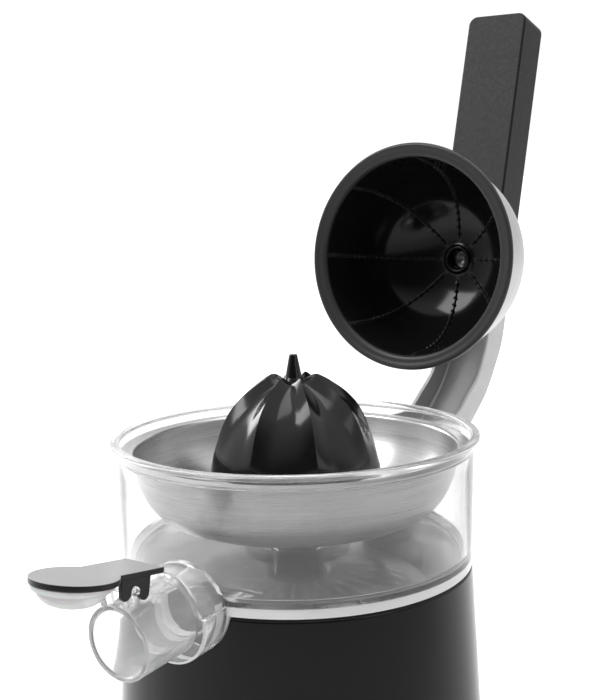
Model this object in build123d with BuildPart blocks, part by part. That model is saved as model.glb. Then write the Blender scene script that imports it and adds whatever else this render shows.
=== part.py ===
from build123d import *
import math
import os

# Lever citrus press. Millimetres, +Z up, the spout faces -Y and the lever is hinged at +Y.
# The origin is on the drive axis, in the plane that the rubber foot ring stands on.

# ---------------------------------------------------------------- driving dimensions
RIM_Z = 209.0          # top of the juice container's rim
RIM_R = 82.5           # outer radius of that rim
DECK_Z = 150.0         # top edge of the motor housing
BODY_R_TOP = 79.0      # housing radius at the deck
BODY_R_FOOT = 86.6     # housing radius at its lower edge
COVER_R = 75.8                                     # deck cover, set into the top of the housing
BODY_Z0 = 3.0          # lower edge of the housing
WALL = 3.0             # housing wall

SPOUT_Y = -118.9       # centre of the spout's mouth
SPOUT_Z = 149.1
SPOUT_TILT = 4.6       # degrees that the spout falls towards its mouth
SPOUT_R = 15.5
SPOUT_BORE = 13.3
COLLAR_R = 20.2
COLLAR_Y = -91.3

HINGE_Y = 94.66        # lever hinge
HINGE_Z = 186.28
PIN_R = 4.0
CLOSE_ANGLE = 95.35    # lever travel, open to fully pressed

CUP_Y = 102.2          # centre of the press cup's rim with the lever open
CUP_Z = 280.6
CUP_TILT = 5.35        # degrees that the cup looks above the horizontal
CUP_R = 57.6
CUP_DEPTH = 55.2

ARM_HALF = 15.2
ARM_WALL = 2.8
POST_HALF = 10.5

GRIP_Y = 206.0         # top edge of the grip's front face
GRIP_Z = 409.8
GRIP_LEAN = 16.51      # degrees that the grip leans back
GRIP_W = 35.0
GRIP_T = 23.8
GRIP_L = 130.0

DRIP_Y = -118.8        # drip-stop lever's pin
DRIP_Z = 172.0
DRIP_LEAN = 8.2
DRIP_PIN_R = 1.8

PRESS = 3.0            # travel of the spindle onto its switch
CONE_R = 38.2
CONE_Z0 = 192.0

MOTOR_X, MOTOR_Y = 24.0, 39.0
IDLER_X, IDLER_Y = 0.0, 39.0

os.makedirs("parts", exist_ok=True)


def save(builder, name):
    builder.part.label = name
    export_step(builder.part, "parts/" + name + ".step")


def lean(deg):
    a = math.radians(deg)
    return math.cos(a), math.sin(a)


def gear_outline(teeth, module, addendum, dedendum, phase_deg, play):
    """Involute tooth outline as points, with the tooth thickness cut by the play."""
    r = teeth * module / 2
    rb = r * math.cos(math.radians(20))
    ra, rf = r + addendum * module, r - dedendum * module
    inv = math.tan(math.radians(20)) - math.radians(20)
    half = math.pi / 2 / teeth - play / 2 / r

    def half_angle(q):
        if q <= rb:
            return half + inv
        a = math.acos(rb / q)
        return half + inv - (math.tan(a) - a)

    low = max(rf, rb)
    radii = [rf] + [low + (ra - low) * k / 3 for k in range(4)]
    if rf >= rb:
        radii = radii[1:]
    pts = []
    for i in range(teeth):
        c = math.radians(phase_deg) + 2 * math.pi * i / teeth
        for q in radii:
            pts.append((q * math.cos(c - half_angle(q)), q * math.sin(c - half_angle(q))))
        for q in reversed(radii):
            pts.append((q * math.cos(c + half_angle(q)), q * math.sin(c + half_angle(q))))
    return pts


# ---------------------------------------------------------------- planes
ct, st = lean(SPOUT_TILT)
SPOUT = Plane(origin=(0, SPOUT_Y, SPOUT_Z), x_dir=(1, 0, 0), z_dir=(0, -ct, -st))
cc, sc = lean(CUP_TILT)
CUP_AXIS = Vector(0, cc, -sc)                      # from the rim into the cup
CUP_C = Vector(0, CUP_Y, CUP_Z)
CUP = Plane(origin=(0, CUP_Y, CUP_Z), x_dir=(1, 0, 0), z_dir=(0, cc, -sc))
CUP_HALF = Plane(origin=(0, CUP_Y, CUP_Z), x_dir=(1, 0, 0), z_dir=(0, sc, cc))
cg, sg = lean(GRIP_LEAN)
GRIP_UP = Vector(0, sg, cg)
GRIP_BACK = Vector(0, cg, -sg)
cd, sd = lean(DRIP_LEAN)
DRIP_OUT = Vector(0, -cd, sd)                      # along the plate, towards its disc
DRIP_NORMAL = Vector(0, sd, cd)
DRIP_C = Vector(0, DRIP_Y, DRIP_Z)
DRIP_TOP = 7.0                                     # top face above the pin, square to the plate
DRIP_T = 2.3
DRIP_FLAT = Plane(origin=DRIP_C + DRIP_NORMAL * DRIP_TOP, x_dir=(-1, 0, 0), z_dir=(0, sd, cd))

# ---------------------------------------------------------------- motor housing
# Tapered shell, open at the foot, with a ledge at the top that carries the deck cover.
with BuildPart() as motor_housing:
    with BuildSketch(Plane.XZ):
        with BuildLine():
            Polyline(
                (BODY_R_FOOT, BODY_Z0), (BODY_R_TOP, DECK_Z - 1.2), (BODY_R_TOP - 1.0, DECK_Z - 0.2),
                (COVER_R + 0.15, DECK_Z - 0.2), (COVER_R + 0.15, 146.9), (73.6, 146.9), (76.2, 144.0),
                (BODY_R_FOOT - WALL + 0.15, BODY_Z0), close=True,
            )
        make_face()
    revolve(axis=Axis.Z)
    # walls of the groove that takes the container's spout collar
    with BuildSketch(SPOUT.offset(-41.0)):
        Circle(COLLAR_R + 3.4)
        with Locations((0, 17.8)):
            Rectangle(60, 45.8, mode=Mode.SUBTRACT)
    extrude(amount=-26.0)
    with BuildSketch(Plane.XZ):
        with BuildLine():
            Polyline(
                (BODY_R_FOOT, BODY_Z0), (BODY_R_TOP, DECK_Z - 1.2), (BODY_R_TOP - 1.0, DECK_Z - 0.2),
                (120, DECK_Z - 0.2), (120, BODY_Z0), close=True,
            )
        make_face()
    revolve(axis=Axis.Z, mode=Mode.SUBTRACT)
    with BuildSketch(SPOUT.offset(40.0)):
        Circle(COLLAR_R + 0.6)
    extrude(amount=-105.6, mode=Mode.SUBTRACT)
    with BuildSketch(Plane.XY.offset(SPOUT_Z + 3.0)):
        with Locations((0, -80)):
            Rectangle(2 * COLLAR_R + 1.2, 49)
    extrude(amount=40, mode=Mode.SUBTRACT)
    # seat of the deck cover
    with BuildSketch(Plane.XY.offset(146.9)):
        Circle(COVER_R + 0.15)
    extrude(amount=6, mode=Mode.SUBTRACT)
    # holes for the hinge post's bolts
    with BuildSketch(Plane.XZ.offset(-95)):
        with Locations((-6, 120), (6, 120), (-6, 92), (6, 92)):
            Circle(1.7)
    extrude(amount=25, mode=Mode.SUBTRACT)
    # opening for the cord inlet
    with BuildSketch(Plane.XZ.offset(-95)):
        with Locations((0, 18)):
            Circle(6.1)
    extrude(amount=25, mode=Mode.SUBTRACT)
    # bosses for the base plate's screws
    with BuildSketch(Plane.XY.offset(6.2)):
        with PolarLocations(76, 4, 45):
            Circle(4)
        with PolarLocations(80, 4, 45):
            Rectangle(8, 5)
    extrude(amount=24)
    with BuildSketch(Plane.XY.offset(6.2)):
        with PolarLocations(76, 4, 45):
            Circle(1.55)
    extrude(amount=16, mode=Mode.SUBTRACT)
save(motor_housing, "motor_housing")

# Deck cover with a raised platform under the container and a neck round the spindle.
with BuildPart() as deck_cover:
    with BuildSketch(Plane.XZ):
        with BuildLine():
            Polyline(
                (COVER_R, 147.0), (COVER_R, DECK_Z - 0.2), (75.4, DECK_Z - 0.2), (75.4, DECK_Z + 1.0),
                (9.6, DECK_Z + 1.0), (9.6, 178.0), (7.6, 178.0), (7.6, 147.0), close=True,
            )
        make_face()
    revolve(axis=Axis.Z)
    with BuildSketch(SPOUT.offset(40.0)):
        Circle(COLLAR_R + 0.6)
    extrude(amount=-105.6, mode=Mode.SUBTRACT)
    with BuildSketch(Plane.XY.offset(SPOUT_Z + 3.0)):
        with Locations((0, -80)):
            Rectangle(2 * COLLAR_R + 1.2, 49)
    extrude(amount=40, mode=Mode.SUBTRACT)
save(deck_cover, "deck_cover")

with BuildPart() as base_plate:
    with BuildSketch(Plane.XY.offset(3.4)):
        Circle(83.2)
        with PolarLocations(76, 4, 45):
            Circle(1.8, mode=Mode.SUBTRACT)
        with PolarLocations(44, 10):
            SlotOverall(16, 3, mode=Mode.SUBTRACT)
        with PolarLocations(64, 4, 0):
            Circle(3.1, mode=Mode.SUBTRACT)
    extrude(amount=2.6)
save(base_plate, "base_plate")

# non-slip ring, held by four plugs in the base plate
with BuildPart() as foot_ring:
    with BuildSketch(Plane.XY):
        Circle(70)
        Circle(58, mode=Mode.SUBTRACT)
    extrude(amount=3.4)
    chamfer(foot_ring.faces().sort_by(Axis.Z)[0].edges(), 0.8)
    with BuildSketch(Plane.XY.offset(3.4)):
        with PolarLocations(64, 4, 0):
            Circle(3.0)
    extrude(amount=4.2)
save(foot_ring, "foot_ring")

with BuildPart() as base_screws:
    with BuildSketch(Plane.XY.offset(1.6)):
        with PolarLocations(76, 4, 45):
            Circle(3.2)
    extrude(amount=1.8)
    with BuildSketch(Plane.XY.offset(3.4)):
        with PolarLocations(76, 4, 45):
            Circle(1.5)
    extrude(amount=12)
    with BuildSketch(Plane.XY.offset(1.6)):
        with PolarLocations(76, 4, 45):
            RegularPolygon(1.4, 6)
    extrude(amount=1.0, mode=Mode.SUBTRACT)
save(base_screws, "base_screws")

# polished ring plate on the platform, cut out over the spout groove
with BuildPart() as top_plate:
    with BuildSketch(Plane.XY.offset(DECK_Z + 1.1)):
        Circle(74.6)
        Circle(24.0, mode=Mode.SUBTRACT)
        with Locations((0, -80)):
            Rectangle(2 * COLLAR_R + 3.0, 51, mode=Mode.SUBTRACT)
    extrude(amount=1.0)
save(top_plate, "top_plate")

# ---------------------------------------------------------------- drive train
with BuildPart() as gear_plate_lower:
    with BuildSketch(Plane.XY.offset(100)):
        Circle(71)
        with Locations((0, -84)):
            Rectangle(160, 84, mode=Mode.SUBTRACT)
        Circle(7.6, mode=Mode.SUBTRACT)
        with Locations((MOTOR_X, MOTOR_Y)):
            Circle(5.2, mode=Mode.SUBTRACT)
            with PolarLocations(16, 2, 30):
                Circle(1.7, mode=Mode.SUBTRACT)
        with Locations((IDLER_X, IDLER_Y)):
            Circle(3.0, mode=Mode.SUBTRACT)
        with Locations((-30, -30), (44, -24), (52, 30), (-22, 60)):
            Circle(1.8, mode=Mode.SUBTRACT)
        with Locations((0, -20)):
            Rectangle(3.0, 6.0, mode=Mode.SUBTRACT)
    extrude(amount=2.5)
save(gear_plate_lower, "gear_plate_lower")

with BuildPart() as gear_plate_upper:
    with BuildSketch(Plane.XY.offset(130)):
        Circle(71)
        with Locations((0, -84)):
            Rectangle(160, 84, mode=Mode.SUBTRACT)
        Circle(10.1, mode=Mode.SUBTRACT)
        with Locations((IDLER_X, IDLER_Y)):
            Circle(3.0, mode=Mode.SUBTRACT)
        with Locations((-30, -30), (44, -24), (52, 30), (-22, 60)):
            Circle(1.8, mode=Mode.SUBTRACT)
    extrude(amount=2.5)
save(gear_plate_upper, "gear_plate_upper")

with BuildPart() as plate_spacers:
    with BuildSketch(Plane.XY.offset(102.5)):
        with Locations((-30, -30), (44, -24), (52, 30), (-22, 60)):
            Circle(4)
            Circle(1.8, mode=Mode.SUBTRACT)
    extrude(amount=27.5)
save(plate_spacers, "plate_spacers")

with BuildPart() as deck_spacers:
    with BuildSketch(Plane.XY.offset(132.5)):
        with Locations((-30, -30), (44, -24), (52, 30), (-22, 60)):
            Circle(4)
            Circle(1.8, mode=Mode.SUBTRACT)
    extrude(amount=14.5)
save(deck_spacers, "deck_spacers")

with BuildPart() as gearbox_screws:
    with BuildSketch(Plane.XY.offset(97.4)):
        with Locations((-30, -30), (44, -24), (52, 30), (-22, 60)):
            Circle(3.2)
    extrude(amount=2.6)
    with BuildSketch(Plane.XY.offset(100)):
        with Locations((-30, -30), (44, -24), (52, 30), (-22, 60)):
            Circle(1.6)
    extrude(amount=46.5)
save(gearbox_screws, "gearbox_screws")

with BuildPart() as gear_bushes:
    with BuildSketch(Plane.XY.offset(99.2)):
        Circle(7.5)
        Circle(6.05, mode=Mode.SUBTRACT)
    extrude(amount=5.0)
    with BuildSketch(Plane.XY.offset(128.8)):
        Circle(10.0)
        Circle(8.05, mode=Mode.SUBTRACT)
    extrude(amount=5.0)
save(gear_bushes, "gear_bushes")

with BuildPart() as motor_body:
    with BuildSketch(Plane.XY.offset(38)):
        with Locations((MOTOR_X, MOTOR_Y)):
            Circle(24)
    extrude(amount=61.6)
    fillet(motor_body.edges().filter_by(GeomType.CIRCLE), 2.5)
    with BuildSketch(Plane.XY.offset(99.6)):
        with Locations((MOTOR_X, MOTOR_Y)):
            Circle(4.6)
    extrude(amount=2.6)
    with BuildSketch(Plane.XY.offset(40)):
        with Locations((MOTOR_X, MOTOR_Y)):
            Circle(3.05)
    extrude(amount=65, mode=Mode.SUBTRACT)
    with BuildSketch(Plane.XY.offset(90)):
        with Locations((MOTOR_X, MOTOR_Y)):
            with PolarLocations(16, 2, 30):
                Circle(1.5)
    extrude(amount=12, mode=Mode.SUBTRACT)
save(motor_body, "motor_body")

with BuildPart() as motor_screws:
    with BuildSketch(Plane.XY.offset(91)):
        with Locations((MOTOR_X, MOTOR_Y)):
            with PolarLocations(16, 2, 30):
                Circle(1.45)
    extrude(amount=11.5)
    with BuildSketch(Plane.XY.offset(102.5)):
        with Locations((MOTOR_X, MOTOR_Y)):
            with PolarLocations(16, 2, 30):
                Circle(2.6)
    extrude(amount=1.6)
save(motor_screws, "motor_screws")

with BuildPart() as motor_shaft:
    with BuildSketch(Plane.XY.offset(42)):
        with Locations((MOTOR_X, MOTOR_Y)):
            Circle(3.0)
    extrude(amount=72)
save(motor_shaft, "motor_shaft")

with BuildPart() as motor_pinion:
    with BuildSketch(Plane.XY.offset(105.6)):
        with BuildLine():
            Polyline(*[(x + MOTOR_X, y + MOTOR_Y) for x, y in gear_outline(12, 1.0, 1.0, 1.1, 15, 0.25)], close=True)
        make_face()
        with Locations((MOTOR_X, MOTOR_Y)):
            Circle(3.0, mode=Mode.SUBTRACT)
    extrude(amount=8.4)
save(motor_pinion, "motor_pinion")

with BuildPart() as idler_gear:
    with BuildSketch(Plane.XY.offset(106)):
        with BuildLine():
            Polyline(*[(x + IDLER_X, y + IDLER_Y) for x, y in gear_outline(36, 1.0, 0.78, 1.2, 0, 0.25)], close=True)
        make_face()
    extrude(amount=7.6)
    with BuildSketch(Plane.XY.offset(113.6)):
        with BuildLine():
            Polyline(*[(x + IDLER_X, y + IDLER_Y) for x, y in gear_outline(12, 1.5, 1.0, 1.1, 15, 0.3)], close=True)
        make_face()
    extrude(amount=13)
    with BuildSketch(Plane.XY.offset(106)):
        with Locations((IDLER_X, IDLER_Y)):
            Circle(3.05)
    extrude(amount=25, mode=Mode.SUBTRACT)
    with BuildSketch(Plane.XY.offset(106)):
        with Locations((IDLER_X, IDLER_Y)):
            with PolarLocations(11.5, 6):
                Circle(2.8)
    extrude(amount=7.6, mode=Mode.SUBTRACT)
save(idler_gear, "idler_gear")

with BuildPart() as idler_axle:
    with BuildSketch(Plane.XY.offset(99.9)):
        with Locations((IDLER_X, IDLER_Y)):
            Circle(3.0)
    extrude(amount=33.2)
save(idler_axle, "idler_axle")

with BuildPart() as output_gear:
    with BuildSketch(Plane.XY.offset(115.6)):
        with BuildLine():
            Polyline(*gear_outline(40, 1.5, 0.78, 1.2, 0, 0.3), close=True)
        make_face()
    extrude(amount=9.6)
    with BuildSketch(Plane.XY.offset(105.4)):
        Circle(8)
    extrude(amount=29.2)
    with BuildSketch(Plane.XY.offset(99.4)):
        Circle(6)
    extrude(amount=6)
    with BuildSketch(Plane.XY.offset(115.6)):
        with PolarLocations(18.5, 6):
            Circle(5)
    extrude(amount=9.6, mode=Mode.SUBTRACT)
    with BuildSketch(Plane.XY.offset(108)):
        RegularPolygon(5.15, 6, major_radius=False)
    extrude(amount=27, mode=Mode.SUBTRACT)
    with BuildSketch(Plane.XY.offset(99)):
        Circle(4.3)
    extrude(amount=9.5, mode=Mode.SUBTRACT)
save(output_gear, "output_gear")

with BuildPart() as spindle:
    with BuildSketch(Plane.XY.offset(88)):
        Circle(4.0)
    extrude(amount=24.2)
    with BuildSketch(Plane.XY.offset(112.2)):
        RegularPolygon(5.0, 6, major_radius=False)
    extrude(amount=25.8)
    with BuildSketch(Plane.XY.offset(138)):
        Circle(5.0)
    extrude(amount=43)
    with BuildSketch(Plane.XY.offset(149.2)):
        Circle(7.2)
    extrude(amount=2.4)
    with BuildSketch(Plane.XY.offset(181)):
        RegularPolygon(4.0, 6, major_radius=False)
    extrude(amount=34)
    chamfer(spindle.faces().sort_by(Axis.Z)[-1].edges(), 0.8)
save(spindle, "spindle")

# return spring under the spindle's shoulder, on top of the output gear
with BuildPart() as return_spring:
    with BuildLine():
        coil = Helix(pitch=2.9, height=13.3, radius=6.55, center=(0, 0, 135.3))
    with BuildSketch(Plane(origin=coil @ 0, z_dir=coil % 0)):
        Circle(0.5)
    sweep(path=coil, is_frenet=True)
save(return_spring, "return_spring")

with BuildPart() as spindle_bush:
    with BuildSketch(Plane.XY.offset(152)):
        Circle(7.55)
        Circle(5.06, mode=Mode.SUBTRACT)
    extrude(amount=21)
save(spindle_bush, "spindle_bush")

with BuildPart() as shaft_seal:
    with BuildSketch(Plane.XZ):
        with BuildLine():
            Polyline((5.08, 173.6), (7.55, 173.6), (7.55, 177.6), (6.2, 177.6), (5.3, 176.4), (5.08, 175.0), close=True)
        make_face()
    revolve(axis=Axis.Z)
save(shaft_seal, "shaft_seal")

with BuildPart() as switch_body:
    with BuildSketch(Plane.XY.offset(70)):
        with Locations((0, -4)):
            RectangleRounded(11, 28, 1)
    extrude(amount=14)
    with BuildSketch(Plane.XY.offset(76)):
        Circle(2.2)
    extrude(amount=8, mode=Mode.SUBTRACT)
    with BuildSketch(Plane.YZ.offset(-6)):
        with Locations((-14, 77), (4, 73)):
            Circle(1.5)
    extrude(amount=12, mode=Mode.SUBTRACT)
    with BuildSketch(Plane.XY.offset(64)):
        with Locations((0, -12), (0, -4), (0, 4)):
            Rectangle(4, 0.8)
    extrude(amount=6)
save(switch_body, "switch_body")

with BuildPart() as switch_plunger:
    with BuildSketch(Plane.XY.offset(79.4)):
        Circle(2.1)
    extrude(amount=8.3)
    fillet(switch_plunger.faces().sort_by(Axis.Z)[-1].edges(), 0.8)
save(switch_plunger, "switch_plunger")

with BuildPart() as switch_bracket:
    with BuildSketch(Plane.XY.offset(98)):
        with Locations((0, -20)):
            Rectangle(18, 10)
            Rectangle(3.0, 3.0, mode=Mode.SUBTRACT)
    extrude(amount=1.8)
    with BuildSketch(Plane.YZ.offset(5.7)):
        with BuildLine():
            Polyline((-25, 98.5), (-15, 98.5), (-15, 86), (8, 82), (8, 70), (-18, 70), (-25, 84), close=True)
        make_face()
        with Locations((-14, 77), (4, 73)):
            Circle(1.5, mode=Mode.SUBTRACT)
    extrude(amount=1.6)
save(switch_bracket, "switch_bracket")

with BuildPart() as switch_screws:
    with BuildSketch(Plane.YZ.offset(-7)):
        with Locations((-14, 77), (4, 73)):
            Circle(1.4)
    extrude(amount=14.3)
    with BuildSketch(Plane.YZ.offset(7.3)):
        with Locations((-14, 77), (4, 73)):
            Circle(2.5)
    extrude(amount=1.4)
save(switch_screws, "switch_screws")

with BuildPart() as cord_gland:
    with BuildSketch(Plane.XZ.offset(-91.0)):
        with Locations((0, 18)):
            Circle(9)
    extrude(amount=4.0)
    with BuildSketch(Plane.XZ.offset(-87.0)):
        with Locations((0, 18)):
            Circle(6.0)
    extrude(amount=12)
    with BuildSketch(Plane.XZ.offset(-92)):
        with Locations((0, 18)):
            Circle(3.4)
    extrude(amount=20, mode=Mode.SUBTRACT)
save(cord_gland, "cord_gland")

# ---------------------------------------------------------------- hinge post and pin
POST_BOLTS = [(-6, 120), (6, 120), (-6, 92), (6, 92)]
with BuildPart() as hinge_post:
    # upright with a rounded head, and a shelf at the back that stops the open lever
    with BuildSketch(Plane.YZ.offset(-POST_HALF)):
        with Locations((HINGE_Y, HINGE_Z)):
            Circle(10.6)
        with BuildLine():
            Polyline((78, 62), (90, 62), (96.5, 70), (104.5, 128), (119.0, 154), (119.6, 160), (117.6, 168.0), (105.2, 170.5), (HINGE_Y + 10.6, HINGE_Z), (HINGE_Y - 10.6, HINGE_Z), (78, 150), close=True)
        make_face()
    extrude(amount=2 * POST_HALF)
    fillet(hinge_post.faces().sort_by(Axis.X)[0].edges(), 1.4)
    fillet(hinge_post.faces().sort_by(Axis.X)[-1].edges(), 1.4)
    # foot flange against the housing
    with BuildSketch(Plane.XZ.offset(-91.5)):
        with Locations((0, 104)):
            RectangleRounded(34, 68, 8)
    extrude(amount=14)
    # the inner face follows the housing's taper, and stands clear of the container above it
    with BuildSketch(Plane.XZ):
        with BuildLine():
            Polyline((0, 60), (BODY_R_FOOT - (60 - 3) * 0.05219 + 0.2, 60), (BODY_R_TOP + 0.36, DECK_Z - 3), (BODY_R_TOP + 0.36, 149.5), (84.06, 152), (84.06, 200), (0, 200), close=True)
        make_face()
    revolve(axis=Axis.Z, mode=Mode.SUBTRACT)
    with BuildSketch(Plane.YZ.offset(-POST_HALF - 1)):
        with Locations((HINGE_Y, HINGE_Z)):
            Circle(PIN_R + 0.02)
    extrude(amount=2 * POST_HALF + 2, mode=Mode.SUBTRACT)
    with BuildSketch(Plane.XZ.offset(-91)):
        with Locations(*POST_BOLTS):
            Circle(1.55)
    extrude(amount=20, mode=Mode.SUBTRACT)
save(hinge_post, "hinge_post")

# bolts from inside the housing into the post
with BuildPart() as post_bolts:
    with BuildSketch(Plane.XZ.offset(-76.7)):
        with Locations((-6, 120), (6, 120)):
            Circle(3.0)
    extrude(amount=2.3)
    with BuildSketch(Plane.XZ.offset(-78.2)):
        with Locations((-6, 92), (6, 92)):
            Circle(3.0)
    extrude(amount=2.3)
    with BuildSketch(Plane.XZ.offset(-90.4)):
        with Locations((-6, 120), (6, 120)):
            Circle(1.5)
    extrude(amount=13.7)
    with BuildSketch(Plane.XZ.offset(-90.4)):
        with Locations((-6, 92), (6, 92)):
            Circle(1.5)
    extrude(amount=12.2)
save(post_bolts, "post_bolts")

with BuildPart() as hinge_pin:
    with BuildSketch(Plane.YZ.offset(-ARM_HALF - 0.5)):
        with Locations((HINGE_Y, HINGE_Z)):
            Circle(PIN_R)
    extrude(amount=2 * ARM_HALF + 1.0)
    with BuildSketch(Plane.YZ.offset(ARM_HALF + 0.4)):
        with Locations((HINGE_Y, HINGE_Z)):
            Circle(6.4)
    extrude(amount=1.8)
    with BuildSketch(Plane.YZ.offset(-ARM_HALF - 2.2)):
        with Locations((HINGE_Y, HINGE_Z)):
            Circle(6.4)
    extrude(amount=1.8)
    fillet(hinge_pin.edges().filter_by(GeomType.CIRCLE).group_by(Axis.X)[0], 1.0)
    fillet(hinge_pin.edges().filter_by(GeomType.CIRCLE).group_by(Axis.X)[-1], 1.0)
save(hinge_pin, "hinge_pin")

with BuildPart() as hinge_washers:
    with BuildSketch(Plane.YZ.offset(POST_HALF)):
        with Locations((HINGE_Y, HINGE_Z)):
            Circle(8)
            Circle(PIN_R + 0.1, mode=Mode.SUBTRACT)
    extrude(amount=1.5)
    with BuildSketch(Plane.YZ.offset(-POST_HALF - 1.5)):
        with Locations((HINGE_Y, HINGE_Z)):
            Circle(8)
            Circle(PIN_R + 0.1, mode=Mode.SUBTRACT)
    extrude(amount=1.5)
save(hinge_washers, "hinge_washers")

# ---------------------------------------------------------------- juice container
with BuildPart() as juice_container:
    with BuildSketch(Plane.XZ):
        with BuildLine():
            Polyline(
                (78.9, DECK_Z + 0.3), (79.0, 157.5), (79.9, 196.0), (80.0, 206.2), (RIM_R, 206.6),
                (RIM_R, 208.4), (81.9, RIM_Z), (79.3, RIM_Z), (78.8, 208.5), (78.7, 202.3), (77.3, 202.3),
                (76.6, 158.0), (74.0, 155.2), (12.3, 155.2), (12.3, 184.0), (10.2, 184.0), (10.2, 152.7),
                (76.1, 152.7), (76.1, DECK_Z + 0.3), close=True,
            )
        make_face()
    revolve(axis=Axis.Z)
    # round boss above and heavy U-shaped collar below, where the spout leaves the wall
    with BuildSketch(SPOUT.offset(-27.6)):
        Circle(18.9)
    extrude(amount=-32.0)
    with BuildSketch(SPOUT.offset(-27.6)):
        Circle(COLLAR_R)
        with Locations((0, 25)):
            Rectangle(60, 45.8, mode=Mode.SUBTRACT)
    extrude(amount=-32.0)
    with BuildSketch(SPOUT):
        Circle(SPOUT_R)
    extrude(amount=-59.0)
    # clear the inside again, above the floor
    with BuildSketch(Plane.XZ):
        with BuildLine():
            Polyline((12.3, 155.2), (74.0, 155.2), (76.6, 158.0), (77.3, 202.0), (12.3, 202.0), close=True)
        make_face()
    revolve(axis=Axis.Z, mode=Mode.SUBTRACT)
    with BuildSketch(SPOUT.offset(1)):
        Circle(SPOUT_BORE)
    extrude(amount=-55.0, mode=Mode.SUBTRACT)
    # lug and pin of the drip-stop lever
    with BuildSketch(Plane.YZ.offset(-7.5)):
        with BuildLine():
            Polyline((DRIP_Y + 4.6, 162.6), (DRIP_Y + 2.6, DRIP_Z + 1.5), (DRIP_Y + 1.2, DRIP_Z + 2.6), (DRIP_Y - 1.2, DRIP_Z + 2.6), (DRIP_Y - 2.6, DRIP_Z + 1.0), (DRIP_Y - 0.1, 162.6), close=True)
        make_face()
    extrude(amount=3.4)
    with BuildSketch(Plane.YZ.offset(4.1)):
        with BuildLine():
            Polyline((DRIP_Y + 4.6, 162.6), (DRIP_Y + 2.6, DRIP_Z + 1.5), (DRIP_Y + 1.2, DRIP_Z + 2.6), (DRIP_Y - 1.2, DRIP_Z + 2.6), (DRIP_Y - 2.6, DRIP_Z + 1.0), (DRIP_Y - 0.1, 162.6), close=True)
        make_face()
    extrude(amount=3.4)
    with BuildSketch(Plane.YZ.offset(-11.2)):
        with Locations((DRIP_Y, DRIP_Z)):
            Circle(DRIP_PIN_R)
    extrude(amount=22.4)
save(juice_container, "juice_container")

# ---------------------------------------------------------------- strainer bowl
# Pressed sheet 0.8 thick: flange on the container's ledge, round bowl, chimney round the spindle.
BOWL = [(73.2, 202.5), (72.9, 197.0), (72.0, 191.0), (70.2, 186.0), (67.2, 180.6), (62.6, 175.9), (55.5, 172.0),
        (46.0, 169.6), (34.0, 168.4), (20.0, 168.0)]
SHEET = 0.8
bowl_in = []
for i, (r, z) in enumerate(BOWL):
    r0, z0 = BOWL[max(i - 1, 0)]
    r1, z1 = BOWL[min(i + 1, len(BOWL) - 1)]
    n = math.hypot(r1 - r0, z1 - z0)
    bowl_in.append((r + SHEET * (z1 - z0) / n, z - SHEET * (r1 - r0) / n))
bowl_in[0] = (72.4, 202.6)
bowl_in[-1] = (20.0, 168.0 + SHEET)
with BuildPart() as strainer_bowl:
    with BuildSketch(Plane.XZ):
        with BuildLine():
            Polyline((72.7, 203.3), (78.3, 203.3), (78.3, 202.5), BOWL[0])
            Spline(*BOWL)
            Polyline(BOWL[-1], (15.9, 168.0), (13.4, 170.5), (13.4, 189.0), (14.2, 189.0), (14.2, 170.8), (16.2, 168.8), bowl_in[-1])
            Spline(*reversed(bowl_in))
            Line(bowl_in[0], (72.7, 203.3))
        make_face()
    revolve(axis=Axis.Z)
    # draining slots low in the bowl
    with BuildSketch(Plane.XY.offset(150)):
        with PolarLocations(30.5, 30):
            SlotOverall(15, 1.8)
        with PolarLocations(47.5, 48, 3.75):
            SlotOverall(9, 1.8)
    extrude(amount=26, mode=Mode.SUBTRACT)
save(strainer_bowl, "strainer_bowl")

# ---------------------------------------------------------------- reamer cone
# Hollow moulding with eight ridges, a locating pin on top and a hexagonal socket inside.
CONE = [(38.2, 192.0), (37.7, 200.0), (34.2, 211.0), (29.9, 219.6), (24.4, 225.9), (17.5, 230.9), (10.2, 234.2)]
with BuildPart() as reamer_cone:
    with BuildSketch(Plane.XZ):
        with BuildLine():
            Polyline((0, 192.0), (37.6, 192.0), (36.6, 197.5))
            Spline((36.6, 197.5), (33.0, 207.0), (27.6, 215.5), (21.6, 221.8), (14.6, 227.0), (8.6, 230.4), (4.4, 232.0))
            Polyline((4.4, 232.0), (4.0, 233.2), (1.9, 243.6), (1.2, 244.2), (0, 244.2), (0, 192.0))
        make_face()
    revolve(axis=Axis.Z)
    # ridges
    with BuildSketch(Plane.XZ.offset(-0.9)):
        with BuildLine():
            Polyline((6.0, 229.0), (8.2, 234.6), (10.2, 234.2))
            Spline(*reversed(CONE))
            Polyline((38.2, 192.0), (33.0, 192.0), (30.0, 205.0), (20.0, 219.0), (6.0, 229.0))
        make_face()
    ridge = extrude(amount=1.8, mode=Mode.PRIVATE)
    for k in range(8):
        add(ridge.rotate(Axis.Z, 4.4 + 45 * k))
    # hollow underside
    with BuildSketch(Plane.XZ):
        with BuildLine():
            Polyline((9.2, 191.0), (34.6, 191.0), (34.4, 196.6))
            Spline((34.4, 196.6), (30.9, 205.6), (25.9, 213.4), (20.0, 219.4), (13.4, 224.2), (9.2, 226.4))
            Line((9.2, 226.4), (9.2, 191.0))
        make_face()
    revolve(axis=Axis.Z, mode=Mode.SUBTRACT)
    with BuildSketch(Plane.XY.offset(188.4)):
        Circle(9.2)
    extrude(amount=4.0)
    with BuildSketch(Plane.XY.offset(188.0)):
        RegularPolygon(4.15, 6, major_radius=False)
    extrude(amount=28.2, mode=Mode.SUBTRACT)
save(reamer_cone, "reamer_cone")

# ---------------------------------------------------------------- press cup
DOME_R, DOME_D, DOME_P = 52.8, 60.0, 2.8


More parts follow.
